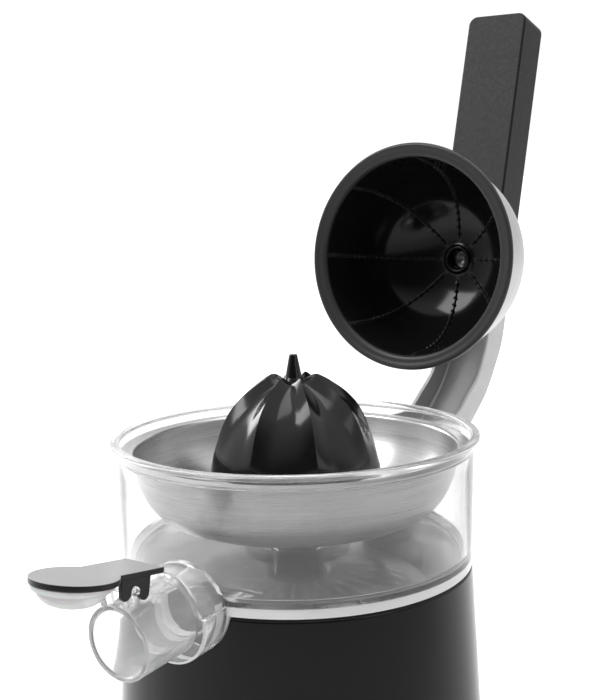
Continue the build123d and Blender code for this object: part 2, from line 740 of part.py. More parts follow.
def cup_profile(r0, d0, p, first, last_r, count=15):
    """Points (radius, depth) from the rim side to the centre."""
    pts = []
    for k in range(count):
        a = math.pi / 2 * k / (count - 1)
        r = r0 * math.cos(a)
        d = d0 * max(0.0, 1 - (r / r0) ** p) ** (1 / p) if r < r0 else 0.0
        if d >= first and r >= last_r:
            pts.append((r, d))
    return pts


dome_out = [(DOME_R, 3.2)] + cup_profile(DOME_R, DOME_D, DOME_P, 6, 8.4)
dome_in = [(DOME_R - 1.2, 3.2)] + cup_profile(DOME_R - 1.2, DOME_D - 1.2, DOME_P, 6, 8.4)
liner_out = [(DOME_R - 1.5, 3.2)] + cup_profile(DOME_R - 1.5, DOME_D - 1.5, DOME_P, 6, 8.4)
liner_in = [(50.0, 1.0)] + cup_profile(50.0, CUP_DEPTH + 1.0, DOME_P, 4, 9.4)
with BuildPart() as cup_dome:
    with BuildSketch(CUP_HALF):
        with BuildLine():
            Spline(*dome_out)
            Polyline(dome_out[-1], (8.0, DOME_D - 0.1), (8.0, DOME_D - 1.2), dome_in[-1])
            Spline(*reversed(dome_in))
            Line(dome_in[0], dome_out[0])
        make_face()
    revolve(axis=Axis(CUP_C, CUP_AXIS))
save(cup_dome, "cup_dome")

with BuildPart() as cup_liner:
    with BuildSketch(CUP_HALF):
        with BuildLine():
            Polyline(liner_in[0], (50.3, 0.4), (54.2, 0.4), (54.6, 0), (57.2, 0), (CUP_R, 0.5), (CUP_R, 2.4), (57.2, 2.9), (DOME_R - 1.5, 2.9), liner_out[0])
            Spline(*liner_out)
            Polyline(liner_out[-1], (7.7, DOME_D - 1.4), (7.7, 63.6), (2.6, 63.6), (2.6, 62.2), (5.6, 62.2), (5.6, CUP_DEPTH), (7.6, CUP_DEPTH), liner_in[-1])
            Spline(*reversed(liner_in))
        make_face()
    revolve(axis=Axis(CUP_C, CUP_AXIS))
    # pressing ribs
    rib_in = [(r, d) for r, d in liner_in if d > 9]
    with BuildSketch(CUP_HALF.offset(-0.9)):
        with BuildLine():
            Spline(*[(r + 0.4, d + 0.3) for r, d in rib_in])
            Polyline((rib_in[-1][0] + 0.4, rib_in[-1][1] + 0.3), (rib_in[-1][0] + 0.4, rib_in[-1][1] - 2.0))
            Spline(*([(rib_in[-1][0] + 0.4, rib_in[-1][1] - 2.0)] + [(r * 0.95 - 0.6, d - 1.4) for r, d in reversed(rib_in[1:-1])] + [(rib_in[0][0] - 0.2, rib_in[0][1] - 0.6)]))
            Line((rib_in[0][0] - 0.2, rib_in[0][1] - 0.6), (rib_in[0][0] + 0.4, rib_in[0][1] + 0.3))
        make_face()
    rib = extrude(amount=1.8)
    for k in range(1, 8):
        add(rib.rotate(Axis(CUP_C, CUP_AXIS), 45 * k))
save(cup_liner, "cup_liner")

with BuildPart() as cup_screw:
    with BuildSketch(CUP.offset(60.4)):
        Circle(4.0)
    extrude(amount=1.8)
    with BuildSketch(CUP.offset(62.2)):
        Circle(2.4)
    extrude(amount=15.0)
    chamfer(cup_screw.faces().sort_by(Axis(CUP_C, CUP_AXIS))[0].edges(), 0.7)
    with BuildSketch(CUP.offset(60.4)):
        Rectangle(5.0, 0.9)
        Rectangle(0.9, 5.0)
    extrude(amount=1.0, mode=Mode.SUBTRACT)
save(cup_screw, "cup_screw")

# ---------------------------------------------------------------- lever arm
# Cast channel, open on the cup's side; (y, z) outlines in the plane of symmetry.
GRIP_LOW = Vector(0, GRIP_Y, GRIP_Z) - GRIP_UP * GRIP_L
arm_front = [(GRIP_LOW.Y + 1.5 * cg - 0.3 * sg, GRIP_LOW.Z - 1.5 * sg - 0.3 * cg), (169.2, 266.0), (166.0, 250.0), (162.5, 231.2), (157.1, 220.9), (150.1, 211.6), (138.8, 203.9), (126.3, 196.4), (110.0, 195.8), (HINGE_Y + 2.0, HINGE_Z + 11.0)]
arm_rear = [(84.4, 176.0), (96.0, 168.4), (108.0, 167.6), (122.0, 173.0), (144.8, 188.8), (161.8, 201.6), (173.0, 215.0), (181.4, 227.6), (186.2, 242.4), (190.0, 260.0), (GRIP_LOW.Y + (GRIP_T - 1.5) * cg - 0.3 * sg, GRIP_LOW.Z - (GRIP_T - 1.5) * sg - 0.3 * cg)]
with BuildPart() as lever_arm:
    with BuildSketch(Plane.YZ.offset(-ARM_HALF)):
        with BuildLine():
            Spline(*arm_front)
            ThreePointArc(arm_front[-1], (HINGE_Y - 7.8, HINGE_Z + 7.75), (HINGE_Y - 11.0, HINGE_Z))
            Line((HINGE_Y - 11.0, HINGE_Z), arm_rear[0])
            Spline(*arm_rear)
            Line(arm_rear[-1], arm_front[0])
        make_face()
    extrude(amount=2 * ARM_HALF)
    # pad that carries the cup
    with BuildSketch(CUP.offset(60.4)):
        Circle(11.0)
    extrude(amount=16)
    # the channel, closed at the back by the web, open below it for the post
    with BuildSketch(Plane.YZ.offset(-ARM_HALF + ARM_WALL)):
        with BuildLine():
            Polyline((140, 252), (165.0, 255.0), (180.0, 253.0))
            Spline((180.0, 253.0), (183.4, 243.4), (178.8, 229.4), (170.6, 216.9), (159.8, 204.0), (143.4, 191.4), (121.5, 176.3))
            Polyline((121.5, 176.3), (117.5, 173.0), (117.5, 160.0), (70, 160.0), (70, 215), (140, 252))
        make_face()
    extrude(amount=2 * (ARM_HALF - ARM_WALL), mode=Mode.SUBTRACT)
    # square end against the grip
    with BuildSketch(Plane(origin=GRIP_LOW - GRIP_UP * 0.3, x_dir=(1, 0, 0), z_dir=GRIP_UP)):
        Rectangle(60, 90)
    extrude(amount=30, mode=Mode.SUBTRACT)
    # counterbore and thread hole for the cup's screw
    with BuildSketch(CUP.offset(60.0)):
        Circle(8.0)
    extrude(amount=4.0, mode=Mode.SUBTRACT)
    with BuildSketch(CUP.offset(60.0)):
        Circle(2.45)
    extrude(amount=18.0, mode=Mode.SUBTRACT)
    # tang inside the grip
    tang0 = GRIP_LOW + GRIP_BACK * (GRIP_T / 2)
    with BuildSketch(Plane(origin=tang0 - GRIP_UP * 3.0, x_dir=(1, 0, 0), z_dir=GRIP_UP)):
        RectangleRounded(20, 11, 2)
    extrude(amount=98.0)
    with BuildSketch(Plane.YZ.offset(-ARM_HALF - 1)):
        with Locations((HINGE_Y, HINGE_Z)):
            Circle(PIN_R + 0.06)
    extrude(amount=2 * ARM_HALF + 2, mode=Mode.SUBTRACT)
    # hole for the grip's screw
    screw_at = GRIP_LOW + GRIP_UP * 60 + GRIP_BACK * GRIP_T
    with BuildSketch(Plane(origin=screw_at, x_dir=(1, 0, 0), z_dir=GRIP_BACK).offset(-18)):
        Circle(1.6)
    extrude(amount=14, mode=Mode.SUBTRACT)
save(lever_arm, "lever_arm")

with BuildPart() as handle_grip:
    with BuildSketch(Plane(origin=GRIP_LOW + GRIP_BACK * (GRIP_T / 2), x_dir=(1, 0, 0), z_dir=GRIP_UP)):
        RectangleRounded(GRIP_W, GRIP_T, 1.3)
    extrude(amount=GRIP_L)
    fillet(handle_grip.faces().sort_by(Axis(GRIP_LOW, GRIP_UP))[-1].edges(), 1.1)
    with BuildSketch(Plane(origin=GRIP_LOW + GRIP_BACK * (GRIP_T / 2) - GRIP_UP * 1, x_dir=(1, 0, 0), z_dir=GRIP_UP)):
        RectangleRounded(20.4, 11.4, 2.1)
    extrude(amount=97.5, mode=Mode.SUBTRACT)
    with BuildSketch(Plane(origin=screw_at, x_dir=(1, 0, 0), z_dir=GRIP_BACK).offset(1)):
        Circle(3.1)
    extrude(amount=-4.2, mode=Mode.SUBTRACT)
    with BuildSketch(Plane(origin=screw_at, x_dir=(1, 0, 0), z_dir=GRIP_BACK).offset(1)):
        Circle(1.8)
    extrude(amount=-8.0, mode=Mode.SUBTRACT)
save(handle_grip, "handle_grip")

with BuildPart() as grip_screw:
    with BuildSketch(Plane(origin=screw_at, x_dir=(1, 0, 0), z_dir=GRIP_BACK).offset(-3.0)):
        Circle(2.9)
    extrude(amount=2.0)
    with BuildSketch(Plane(origin=screw_at, x_dir=(1, 0, 0), z_dir=GRIP_BACK).offset(-3.0)):
        Circle(1.5)
    extrude(amount=-13.0)
    with BuildSketch(Plane(origin=screw_at, x_dir=(1, 0, 0), z_dir=GRIP_BACK).offset(-1.0)):
        Rectangle(3.8, 0.8)
        Rectangle(0.8, 3.8)
    extrude(amount=-1.0, mode=Mode.SUBTRACT)
save(grip_screw, "grip_screw")

# ---------------------------------------------------------------- drip-stop lever
DISC_S, DISC_R, TAIL_S, TAIL_HALF = 21.6, 16.7, -16.1, 10.3
SEAL_S = 22.6                                      # seal's centre: in line with the spout when shut
with BuildPart() as drip_lever:
    with BuildSketch(DRIP_FLAT):
        with Locations((0, DISC_S)):
            Circle(DISC_R)
        with Locations((0, (TAIL_S + DISC_S) / 2)):
            Rectangle(2 * TAIL_HALF, DISC_S - TAIL_S)
    extrude(amount=-DRIP_T)
    with BuildSketch(DRIP_FLAT.offset(-DRIP_T)):
        with Locations((0, SEAL_S)):
            Circle(3.0)
    extrude(amount=-2.2)
    side = Plane(origin=DRIP_C - Vector(TAIL_HALF, 0, 0), x_dir=DRIP_OUT * -1, z_dir=(1, 0, 0))
    cheek = DRIP_TOP - DRIP_T + 0.2
    for x in (0.0, 2 * TAIL_HALF - 1.8):
        with BuildSketch(side.offset(x)):
            with BuildLine():
                Polyline((7.6, cheek), (7.0, -1.0), (6.2, -2.6), (4.6, -3.2), (3.0, -2.6), (DRIP_PIN_R + 0.1, -1.2), (DRIP_PIN_R + 0.1, 0))
                ThreePointArc((DRIP_PIN_R + 0.1, 0), (0, DRIP_PIN_R + 0.1), (-DRIP_PIN_R - 0.1, 0))
                Polyline((-DRIP_PIN_R - 0.1, 0), (-DRIP_PIN_R - 0.1, -1.8), (-3.2, -3.4), (-5.2, -4.2), (-7.4, -3.2), (-8.0, -1.4), (-8.2, cheek), (7.6, cheek))
            make_face()
        extrude(amount=1.8)
    fillet(drip_lever.edges().filter_by(GeomType.CIRCLE).filter_by(lambda e: abs(e.radius - DISC_R) < 0.01), 0.4)
save(drip_lever, "drip_lever")

with BuildPart() as drip_seal:
    seal_plane = Plane(origin=DRIP_C + DRIP_OUT * SEAL_S + DRIP_NORMAL * (DRIP_TOP - DRIP_T - 0.05), x_dir=(1, 0, 0), z_dir=DRIP_NORMAL * -1)
    half = Plane(origin=seal_plane.origin, x_dir=(1, 0, 0), z_dir=DRIP_OUT)
    flip = -1 if half.y_dir.dot(DRIP_NORMAL) > 0 else 1
    with BuildSketch(half):
        with BuildLine():
            Polyline((3.1, 0), (15.4, 0), (15.4, flip * 1.3), (14.9, flip * 2.2), (14.1, flip * 2.5), (12.8, flip * 2.5), (12.7, flip * 3.4))
            Spline((12.7, flip * 3.4), (11.8, flip * 5.2), (9.2, flip * 7.2), (5.0, flip * 8.6), (0, flip * 9.0))
            Polyline((0, flip * 9.0), (0, flip * 2.4), (3.1, flip * 2.4), (3.1, 0))
        make_face()
    revolve(axis=Axis(seal_plane.origin, DRIP_NORMAL))
save(drip_seal, "drip_seal")
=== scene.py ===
import bpy
import bmesh
import math
from mathutils import Vector, Matrix


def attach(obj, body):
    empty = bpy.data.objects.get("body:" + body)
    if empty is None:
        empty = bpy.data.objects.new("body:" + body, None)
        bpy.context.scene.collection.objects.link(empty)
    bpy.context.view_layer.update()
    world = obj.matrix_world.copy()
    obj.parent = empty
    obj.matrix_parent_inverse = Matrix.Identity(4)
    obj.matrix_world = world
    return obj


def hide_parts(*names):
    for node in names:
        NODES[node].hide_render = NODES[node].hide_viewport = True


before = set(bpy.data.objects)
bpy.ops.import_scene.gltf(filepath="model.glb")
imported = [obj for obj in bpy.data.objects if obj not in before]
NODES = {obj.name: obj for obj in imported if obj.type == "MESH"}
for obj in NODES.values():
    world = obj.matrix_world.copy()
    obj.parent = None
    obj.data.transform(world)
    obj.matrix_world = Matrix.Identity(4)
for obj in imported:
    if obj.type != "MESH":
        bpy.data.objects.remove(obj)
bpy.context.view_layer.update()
SCENE = bpy.context.scene
X, Y, Z = Vector((1, 0, 0)), Vector((0, 1, 0)), Vector((0, 0, 1))

# ------------------------------------------------------------------ camera
PSI, PITCH, YAW, ROLL = 0.6182, 0.1443, 0.0029, -0.0226


def turned(a):
    c, s = math.cos(PSI), math.sin(PSI)
    return Vector((a[0] * c - a[1] * s, a[0] * s + a[1] * c, a[2]))


fw = Vector((math.sin(YAW) * math.cos(PITCH), math.cos(YAW) * math.cos(PITCH), -math.sin(PITCH)))
rt = Vector((math.cos(YAW), -math.sin(YAW), 0))
up = rt.cross(fw)
right = turned(rt * math.cos(ROLL) + up * math.sin(ROLL))
upper = turned(up * math.cos(ROLL) - rt * math.sin(ROLL))
ahead = turned(fw)
cam_data = bpy.data.cameras.new("camera")
cam_data.sensor_fit = "VERTICAL"
cam_data.sensor_height = 36.0
cam_data.lens = 62.76
cam_data.clip_start, cam_data.clip_end = 0.01, 50
camera = bpy.data.objects.new("camera", cam_data)
SCENE.collection.objects.link(camera)
camera.matrix_world = Matrix.Translation((0.31181, -0.43843, 0.32422)) @ Matrix((
    (right.x, upper.x, -ahead.x, 0), (right.y, upper.y, -ahead.y, 0), (right.z, upper.z, -ahead.z, 0), (0, 0, 0, 1)))
SCENE.camera = camera

# ------------------------------------------------------------------ mesh helpers (millimetres in, metres out)


def lean(deg):
    return math.cos(math.radians(deg)), math.sin(math.radians(deg))


def spline(pts, per=8, closed=False):
    """Centripetal Catmull-Rom through the points."""
    p = [Vector(q) for q in pts]
    n = len(p)
    out = []
    last = n if closed else n - 1
    for i in range(last):
        p1, p2 = p[i], p[(i + 1) % n]
        p0 = p[i - 1] if (closed or i > 0) else p1 * 2 - p2
        p3 = p[(i + 2) % n] if (closed or i + 2 < n) else p2 * 2 - p1
        t0 = 0.0
        t1 = t0 + max((p1 - p0).length, 1e-6) ** 0.5
        t2 = t1 + max((p2 - p1).length, 1e-6) ** 0.5
        t3 = t2 + max((p3 - p2).length, 1e-6) ** 0.5
        for k in range(per):
            t = t1 + (t2 - t1) * k / per
            a1 = p0 * ((t1 - t) / (t1 - t0)) + p1 * ((t - t0) / (t1 - t0))
            a2 = p1 * ((t2 - t) / (t2 - t1)) + p2 * ((t - t1) / (t2 - t1))
            a3 = p2 * ((t3 - t) / (t3 - t2)) + p3 * ((t - t2) / (t3 - t2))
            b1 = a1 * ((t2 - t) / (t2 - t0)) + a2 * ((t - t0) / (t2 - t0))
            b2 = a2 * ((t3 - t) / (t3 - t1)) + a3 * ((t - t1) / (t3 - t1))
            out.append(b1 * ((t2 - t) / (t2 - t1)) + b2 * ((t - t1) / (t2 - t1)))
    if not closed:
        out.append(p[-1])
    return [tuple(v) for v in out]


def fillet(pts, radii, seg=5, closed=True):
    """A polygon with its corners rounded. A radius of 0 leaves a corner sharp."""
    if not isinstance(radii, (list, tuple)):
        radii = [radii] * len(pts)
    out, n = [], len(pts)
    for i in range(n):
        b, r = Vector(pts[i]), radii[i]
        if r <= 0 or (not closed and i in (0, n - 1)):
            out.append(tuple(b))
            continue
        a, c = Vector(pts[i - 1]), Vector(pts[(i + 1) % n])
        u, v = (a - b).normalized(), (c - b).normalized()
        ang = math.acos(max(-1, min(1, u.dot(v))))
        if ang > math.pi - 0.03:
            out.append(tuple(b))
            continue
        t = min(r / math.tan(ang / 2), 0.48 * (a - b).length, 0.48 * (c - b).length)
        r = t * math.tan(ang / 2)
        mid = b + (u + v).normalized() * (r / math.sin(ang / 2))
        s, e = b + u * t - mid, b + v * t - mid
        full = math.atan2(s.x * e.y - s.y * e.x, s.dot(e))
        for k in range(seg + 1):
            w = full * k / seg
            out.append((mid.x + s.x * math.cos(w) - s.y * math.sin(w), mid.y + s.x * math.sin(w) + s.y * math.cos(w)))
    return out


def area(poly):
    return sum(poly[i - 1][0] * poly[i][1] - poly[i][0] * poly[i - 1][1] for i in range(len(poly))) / 2


def inset(poly, d):
    """Moves a counter-clockwise polygon's points inwards."""
    out, n = [], len(poly)
    for i in range(n):
        a, b, c = Vector(poly[i - 1]), Vector(poly[i]), Vector(poly[(i + 1) % n])
        e1, e2 = (b - a).normalized(), (c - b).normalized()
        n1, n2 = Vector((-e1.y, e1.x)), Vector((-e2.y, e2.x))
        q = b + (n1 + n2) * (d / max(0.4, 1 + n1.dot(n2)))
        out.append((q.x, q.y))
    return out


class Frame:
    """A place for profiles: o the origin, x and y across, z along."""

    def __init__(self, o=(0, 0, 0), x=(1, 0, 0), z=(0, 0, 1)):
        self.o, self.x, self.z = Vector(o), Vector(x).normalized(), Vector(z).normalized()
        self.y = self.z.cross(self.x)

    def at(self, a, b, c):
        return self.o + self.x * a + self.y * b + self.z * c


WORLD = Frame()


def raw(name, verts, faces, fix=True):
    me = bpy.data.meshes.new(name)
    me.from_pydata([Vector(v) * 0.001 for v in verts], [], faces)
    me.update()
    ob = bpy.data.objects.new(name, me)
    SCENE.collection.objects.link(ob)
    if fix:
        bm = bmesh.new()
        bm.from_mesh(me)
        bmesh.ops.remove_doubles(bm, verts=bm.verts, dist=1e-7)
        bmesh.ops.recalc_face_normals(bm, faces=bm.faces)
        bm.to_mesh(me)
        bm.free()
    return ob


def lathe(name, profile, n=192, at=WORLD, closed=True):
    """Turns a profile of (radius, height) round the frame's z. A closed profile makes a ring or a solid."""
    verts, rings = [], []
    for r, h in profile:
        if r < 1e-6:
            rings.append([len(verts)])
            verts.append(at.at(0, 0, h))
        else:
            rings.append(list(range(len(verts), len(verts) + n)))
            for k in range(n):
                a = 2 * math.pi * k / n
                verts.append(at.at(r * math.cos(a), r * math.sin(a), h))
    faces, m = [], len(rings)
    for i in range(m if closed else m - 1):
        a, b = rings[i], rings[(i + 1) % m]
        if len(a) == 1 and len(b) == 1:
            continue
        for k in range(n):
            j = (k + 1) % n
            if len(a) == 1:
                faces.append((a[0], b[k], b[j]))
            elif len(b) == 1:
                faces.append((a[k], a[j], b[0]))
            else:
                faces.append((a[k], a[j], b[j], b[k]))
    return raw(name, verts, faces)


def slab(name, poly, lo, hi, rnd=0.0, at=WORLD, seg=4):
    """Extrudes a polygon in the frame's x, y from lo to hi along its z, with both outer edges rounded."""
    if area(poly) < 0:
        poly = poly[::-1]
    layers = [(0.0, lo), (0.0, hi)]
    if rnd:
        layers = []
        for k in range(seg + 1):
            w = math.pi / 2 * k / seg
            layers.append((rnd * (1 - math.sin(w)), lo + rnd * (1 - math.cos(w))))
        for k in range(seg, -1, -1):
            w = math.pi / 2 * k / seg
            layers.append((rnd * (1 - math.sin(w)), hi - rnd * (1 - math.cos(w))))
    verts, n = [], len(poly)
    for d, h in layers:
        for a, b in (inset(poly, d) if d > 1e-9 else poly):
            verts.append(at.at(a, b, h))
    faces = [tuple(reversed(range(n))), tuple(range(len(verts) - n, len(verts)))]
    for i in range(len(layers) - 1):
        for k in range(n):
            j = (k + 1) % n
            faces.append((i * n + k, i * n + j, (i + 1) * n + j, (i + 1) * n + k))
    return raw(name, verts, faces)


def block(name, x, y, z):
    poly = [(x[0], y[0]), (x[1], y[0]), (x[1], y[1]), (x[0], y[1])]
    return slab(name, poly, z[0], z[1])


def bake(ob):
    bpy.context.view_layer.update()
    deps = bpy.context.evaluated_depsgraph_get()
    me = bpy.data.meshes.new_from_object(ob.evaluated_get(deps), preserve_all_data_layers=True, depsgraph=deps)
    ob.modifiers.clear()
    old = ob.data
    ob.data = me
    bpy.data.meshes.remove(old)


def cut(a, b, how="DIFFERENCE", keep=False):
    m = a.modifiers.new("cut", "BOOLEAN")
    m.operation, m.object = how, b
    try:
        m.solver = "MANIFOLD"
    except TypeError:
        m.solver = "EXACT"
    bake(a)
    if len(a.data.polygons) == 0:
        print("EMPTY BOOLEAN", a.name, b.name)
    if not keep:
        bpy.data.objects.remove(b)
    return a


def join(a, *others):
    bm = bmesh.new()
    bm.from_mesh(a.data)
    for o in others:
        bm.from_mesh(o.data)
        bpy.data.objects.remove(o)
    bm.to_mesh(a.data)
    bm.free()
    return a


def settle(ob, body, material, nodes=(), angle=35, weighted=False, tidy=True):
    """Smooth shading with sharp edges by angle, then the piece's place in the frame."""
    if tidy:
        bm = bmesh.new()
        bm.from_mesh(ob.data)
        bmesh.ops.remove_doubles(bm, verts=bm.verts, dist=2e-6)
        bmesh.ops.dissolve_degenerate(bm, edges=bm.edges, dist=2e-6)
        bm.to_mesh(ob.data)
        bm.free()
    ob.data.materials.clear()
    ob.data.materials.append(material)
    for p in ob.data.polygons:
        p.material_index = 0
        p.use_smooth = True
    ob.data.set_sharp_from_angle(angle=math.radians(angle))
    if weighted:
        m = ob.modifiers.new("normals", "WEIGHTED_NORMAL")
        m.keep_sharp = True
        m.weight = 60
        bake(ob)
    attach(ob, body)
    if nodes:
        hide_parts(*nodes)
    return ob


# ------------------------------------------------------------------ materials


class Mat:
    """A Principled material with procedural detail in object space (metres)."""

    def __init__(self, name, **sockets):
        self.m = bpy.data.materials.new(name)
        self.m.use_nodes = True
        self.t = self.m.node_tree
        self.b = self.t.nodes["Principled BSDF"]
        self.out = self.t.nodes["Material Output"]
        for k, v in sockets.items():
            self.b.inputs[k.replace("_", " ")].default_value = v
        self.co = self.t.nodes.new("ShaderNodeTexCoord").outputs["Object"]
        self.height = None

    def link(self, a, b):
        self.t.links.new(a, b)

    def math(self, op, a, b=None, c=None):
        n = self.t.nodes.new("ShaderNodeMath")
        n.operation = op
        for i, v in enumerate((a, b, c)):
            if v is None:
                continue
            if isinstance(v, (int, float)):
                n.inputs[i].default_value = v
            else:
                self.link(v, n.inputs[i])
        return n.outputs[0]

    def scaled(self, sx, sy, sz, rot=(0, 0, 0)):
        n = self.t.nodes.new("ShaderNodeMapping")
        n.inputs["Scale"].default_value = (sx, sy, sz)
        n.inputs["Rotation"].default_value = rot
        self.link(self.co, n.inputs["Vector"])
        return n.outputs["Vector"]

    def noise(self, scale, detail=3.0, rough=0.55, vector=None, distortion=0.0):
        n = self.t.nodes.new("ShaderNodeTexNoise")
        n.inputs["Scale"].default_value = scale
        n.inputs["Detail"].default_value = detail
        n.inputs["Roughness"].default_value = rough
        n.inputs["Distortion"].default_value = distortion
        self.link(vector or self.co, n.inputs["Vector"])
        return n.outputs["Fac"]

    def voronoi(self, scale, vector=None):
        n = self.t.nodes.new("ShaderNodeTexVoronoi")
        n.inputs["Scale"].default_value = scale
        self.link(vector or self.co, n.inputs["Vector"])
        return n.outputs["Distance"]

    def remap(self, v, lo, hi, a=0.3, b=0.7):
        n = self.t.nodes.new("ShaderNodeMapRange")
        n.inputs["From Min"].default_value, n.inputs["From Max"].default_value = a, b
        n.inputs["To Min"].default_value, n.inputs["To Max"].default_value = lo, hi
        self.link(v, n.inputs["Value"])
        return n.outputs["Result"]

    def colour(self, v, stops):
        n = self.t.nodes.new("ShaderNodeValToRGB")
        r = n.color_ramp
        while len(r.elements) < len(stops):
            r.elements.new(0.5)
        for e, (p, c) in zip(r.elements, stops):
            e.position, e.color = p, (*c, 1) if not isinstance(c, float) else (c, c, c, 1)
        self.link(v, n.inputs["Fac"])
        self.link(n.outputs["Color"], self.b.inputs["Base Color"])
        return self

    def rough(self, v, lo, hi, a=0.3, b=0.7):
        self.link(self.remap(v, lo, hi, a, b), self.b.inputs["Roughness"])
        return self

    def bump(self, v, distance, strength=1.0):
        n = self.t.nodes.new("ShaderNodeBump")
        n.inputs["Strength"].default_value = strength
        n.inputs["Distance"].default_value = distance
        self.link(v, n.inputs["Height"])
        if self.height is not None:
            self.link(self.height, n.inputs["Normal"])
        self.height = n.outputs["Normal"]
        self.link(self.height, self.b.inputs["Normal"])
        return self

    def polar(self, cx=0.0, cy=0.0):
        """(radius, angle, height) about a vertical axis, in metres and turns."""
        s = self.t.nodes.new("ShaderNodeSeparateXYZ")
        self.link(self.co, s.inputs[0])
        x, y = self.math("SUBTRACT", s.outputs["X"], cx), self.math("SUBTRACT", s.outputs["Y"], cy)
        r = self.math("SQRT", self.math("ADD", self.math("MULTIPLY", x, x), self.math("MULTIPLY", y, y)))
        a = self.math("DIVIDE", self.math("ARCTAN2", y, x), 2 * math.pi)
        return r, a, s.outputs["Z"]

    def vec(self, a, b, c):
        n = self.t.nodes.new("ShaderNodeCombineXYZ")
        for i, v in enumerate((a, b, c)):
            if isinstance(v, (int, float)):
                n.inputs[i].default_value = v
            else:
                self.link(v, n.inputs[i])
        return n.outputs[0]

    def lets_lamps_through(self, tint=(1, 1, 1)):
        """Shadow rays pass, so that what stands inside the clear wall is lit."""
        lp = self.t.nodes.new("ShaderNodeLightPath")
        tr = self.t.nodes.new("ShaderNodeBsdfTransparent")
        tr.inputs["Color"].default_value = (*tint, 1)
        mx = self.t.nodes.new("ShaderNodeMixShader")
        self.link(lp.outputs["Is Shadow Ray"], mx.inputs[0])
        self.link(self.b.outputs[0], mx.inputs[1])
        self.link(tr.outputs[0], mx.inputs[2])
        self.link(mx.outputs[0], self.out.inputs["Surface"])
        return self


def moulded_black(name, base, r0, r1, wave, wave_d, grain, grain_d, shine=0.5):
    k = Mat(name, IOR=1.5, Specular_IOR_Level=shine)
    k.colour(k.noise(45, 3), [(0.3, base * 0.85), (0.7, base * 1.2)])
    k.rough(k.noise(70, 4, 0.6), r0, r1)
    k.bump(k.noise(wave, 2, 0.4), wave_d)
    if grain:
        k.bump(k.noise(grain, 2, 0.5), grain_d)
    return k.m


M = {}
M["housing"] = moulded_black("housing_black", 0.0045, 0.14, 0.2, 22, 0.0001, 900, 0.000002, 0.22)
M["cone"] = moulded_black("cone_black", 0.006, 0.13, 0.19, 60, 0.00005, 1100, 0.0000015, 0.36)
k = Mat("cup_black_gloss", IOR=1.5, Specular_IOR_Level=0.26)
sep = k.t.nodes.new("ShaderNodeSeparateXYZ")
k.link(k.co, sep.inputs[0])
depth = k.math("SUBTRACT", k.math("MULTIPLY", k.math("SUBTRACT", sep.outputs["Y"], 0.1022), 0.99564), k.math("MULTIPLY", k.math("SUBTRACT", sep.outputs["Z"], 0.2806), 0.09324))
up = k.math("ADD", k.math("MULTIPLY", k.math("SUBTRACT", sep.outputs["Y"], 0.1022), 0.09324), k.math("MULTIPLY", k.math("SUBTRACT", sep.outputs["Z"], 0.2806), 0.99564))
side = sep.outputs["X"]
away = k.math("SQRT", k.math("ADD", k.math("MULTIPLY", side, side), k.math("MULTIPLY", up, up)))
turn = k.math("ABSOLUTE", k.math("SUBTRACT", k.math("FRACT", k.math("MULTIPLY_ADD", k.math("ARCTAN2", up, side), 4 / math.pi, 8.5)), 0.5))
arc_off = k.math("MULTIPLY", k.math("MULTIPLY", turn, away), math.pi / 4)
# painted highlight: the base colour rises from 0.008 towards 0.034 on the rim lip (edge) and along the eight ribs
# (rib), standing in for the light they catch
rib = k.math("MULTIPLY", k.remap(arc_off, 1, 0, 0.0010, 0.0013), k.remap(away, 0, 1, 0.0085, 0.0095))
edge = k.remap(depth, 1, 0, 0.0024, 0.0036)
k.colour(k.math("MAXIMUM", edge, k.math("MULTIPLY", rib, 0.9)), [(0.0, 0.008), (1.0, 0.034)])
k.rough(k.remap(depth, 0.26, 0.12, 0.0024, 0.0036), 0.12, 0.26, 0.12, 0.26)
k.bump(k.noise(50, 2, 0.4), 0.00006)
M["cup"] = k.m
k = Mat("cup_knob_black", IOR=1.5, Specular_IOR_Level=0.9)
k.colour(k.noise(60, 2), [(0.3, 0.05), (0.7, 0.06)])
k.rough(k.noise(80, 2), 0.2, 0.3)
M["knob"] = k.m
M["post"] = moulded_black("post_black", 0.006, 0.2, 0.3, 30, 0.0001, 1500, 0.000003)
# the drip lever is satin dark plastic; its top face gets a light grey base colour, a painted highlight standing in for
# the sheen it shows at a grazing view, while the edges and cheeks stay dark
k = Mat("drip_plastic", IOR=1.5, Specular_IOR_Level=0.3)
sep = k.t.nodes.new("ShaderNodeSeparateXYZ")
k.link(k.co, sep.inputs[0])
height = k.math("ADD", k.math("MULTIPLY", k.math("ADD", sep.outputs["Y"], 0.1188), 0.14263), k.math("MULTIPLY", k.math("SUBTRACT", sep.outputs["Z"], 0.172), 0.98978))
fleck = k.remap(k.noise(90, 2, 0.5), 0.94, 1.0)
# painted highlight: base colour up to 0.27 on the top face, 0.007 on the edges and cheeks
k.colour(k.math("MULTIPLY", k.remap(height, 0, 1, 0.00688, 0.00696), fleck), [(0.0, 0.007), (1.0, 0.27)])
k.rough(k.noise(70, 2, 0.5), 0.28, 0.34)
M["drip"] = k.m
M["underside"] = moulded_black("underside_black", 0.02, 0.4, 0.55, 30, 0.00005, 1800, 0.00001)
M["rubber"] = moulded_black("foot_rubber", 0.018, 0.6, 0.8, 60, 0.00005, 2400, 0.00002)
M["seal_rubber"] = moulded_black("seal_rubber", 0.02, 0.5, 0.65, 60, 0.00003, 2600, 0.00001)
M["switch"] = moulded_black("switch_case", 0.025, 0.35, 0.5, 60, 0.00002, 2000, 0.00001)

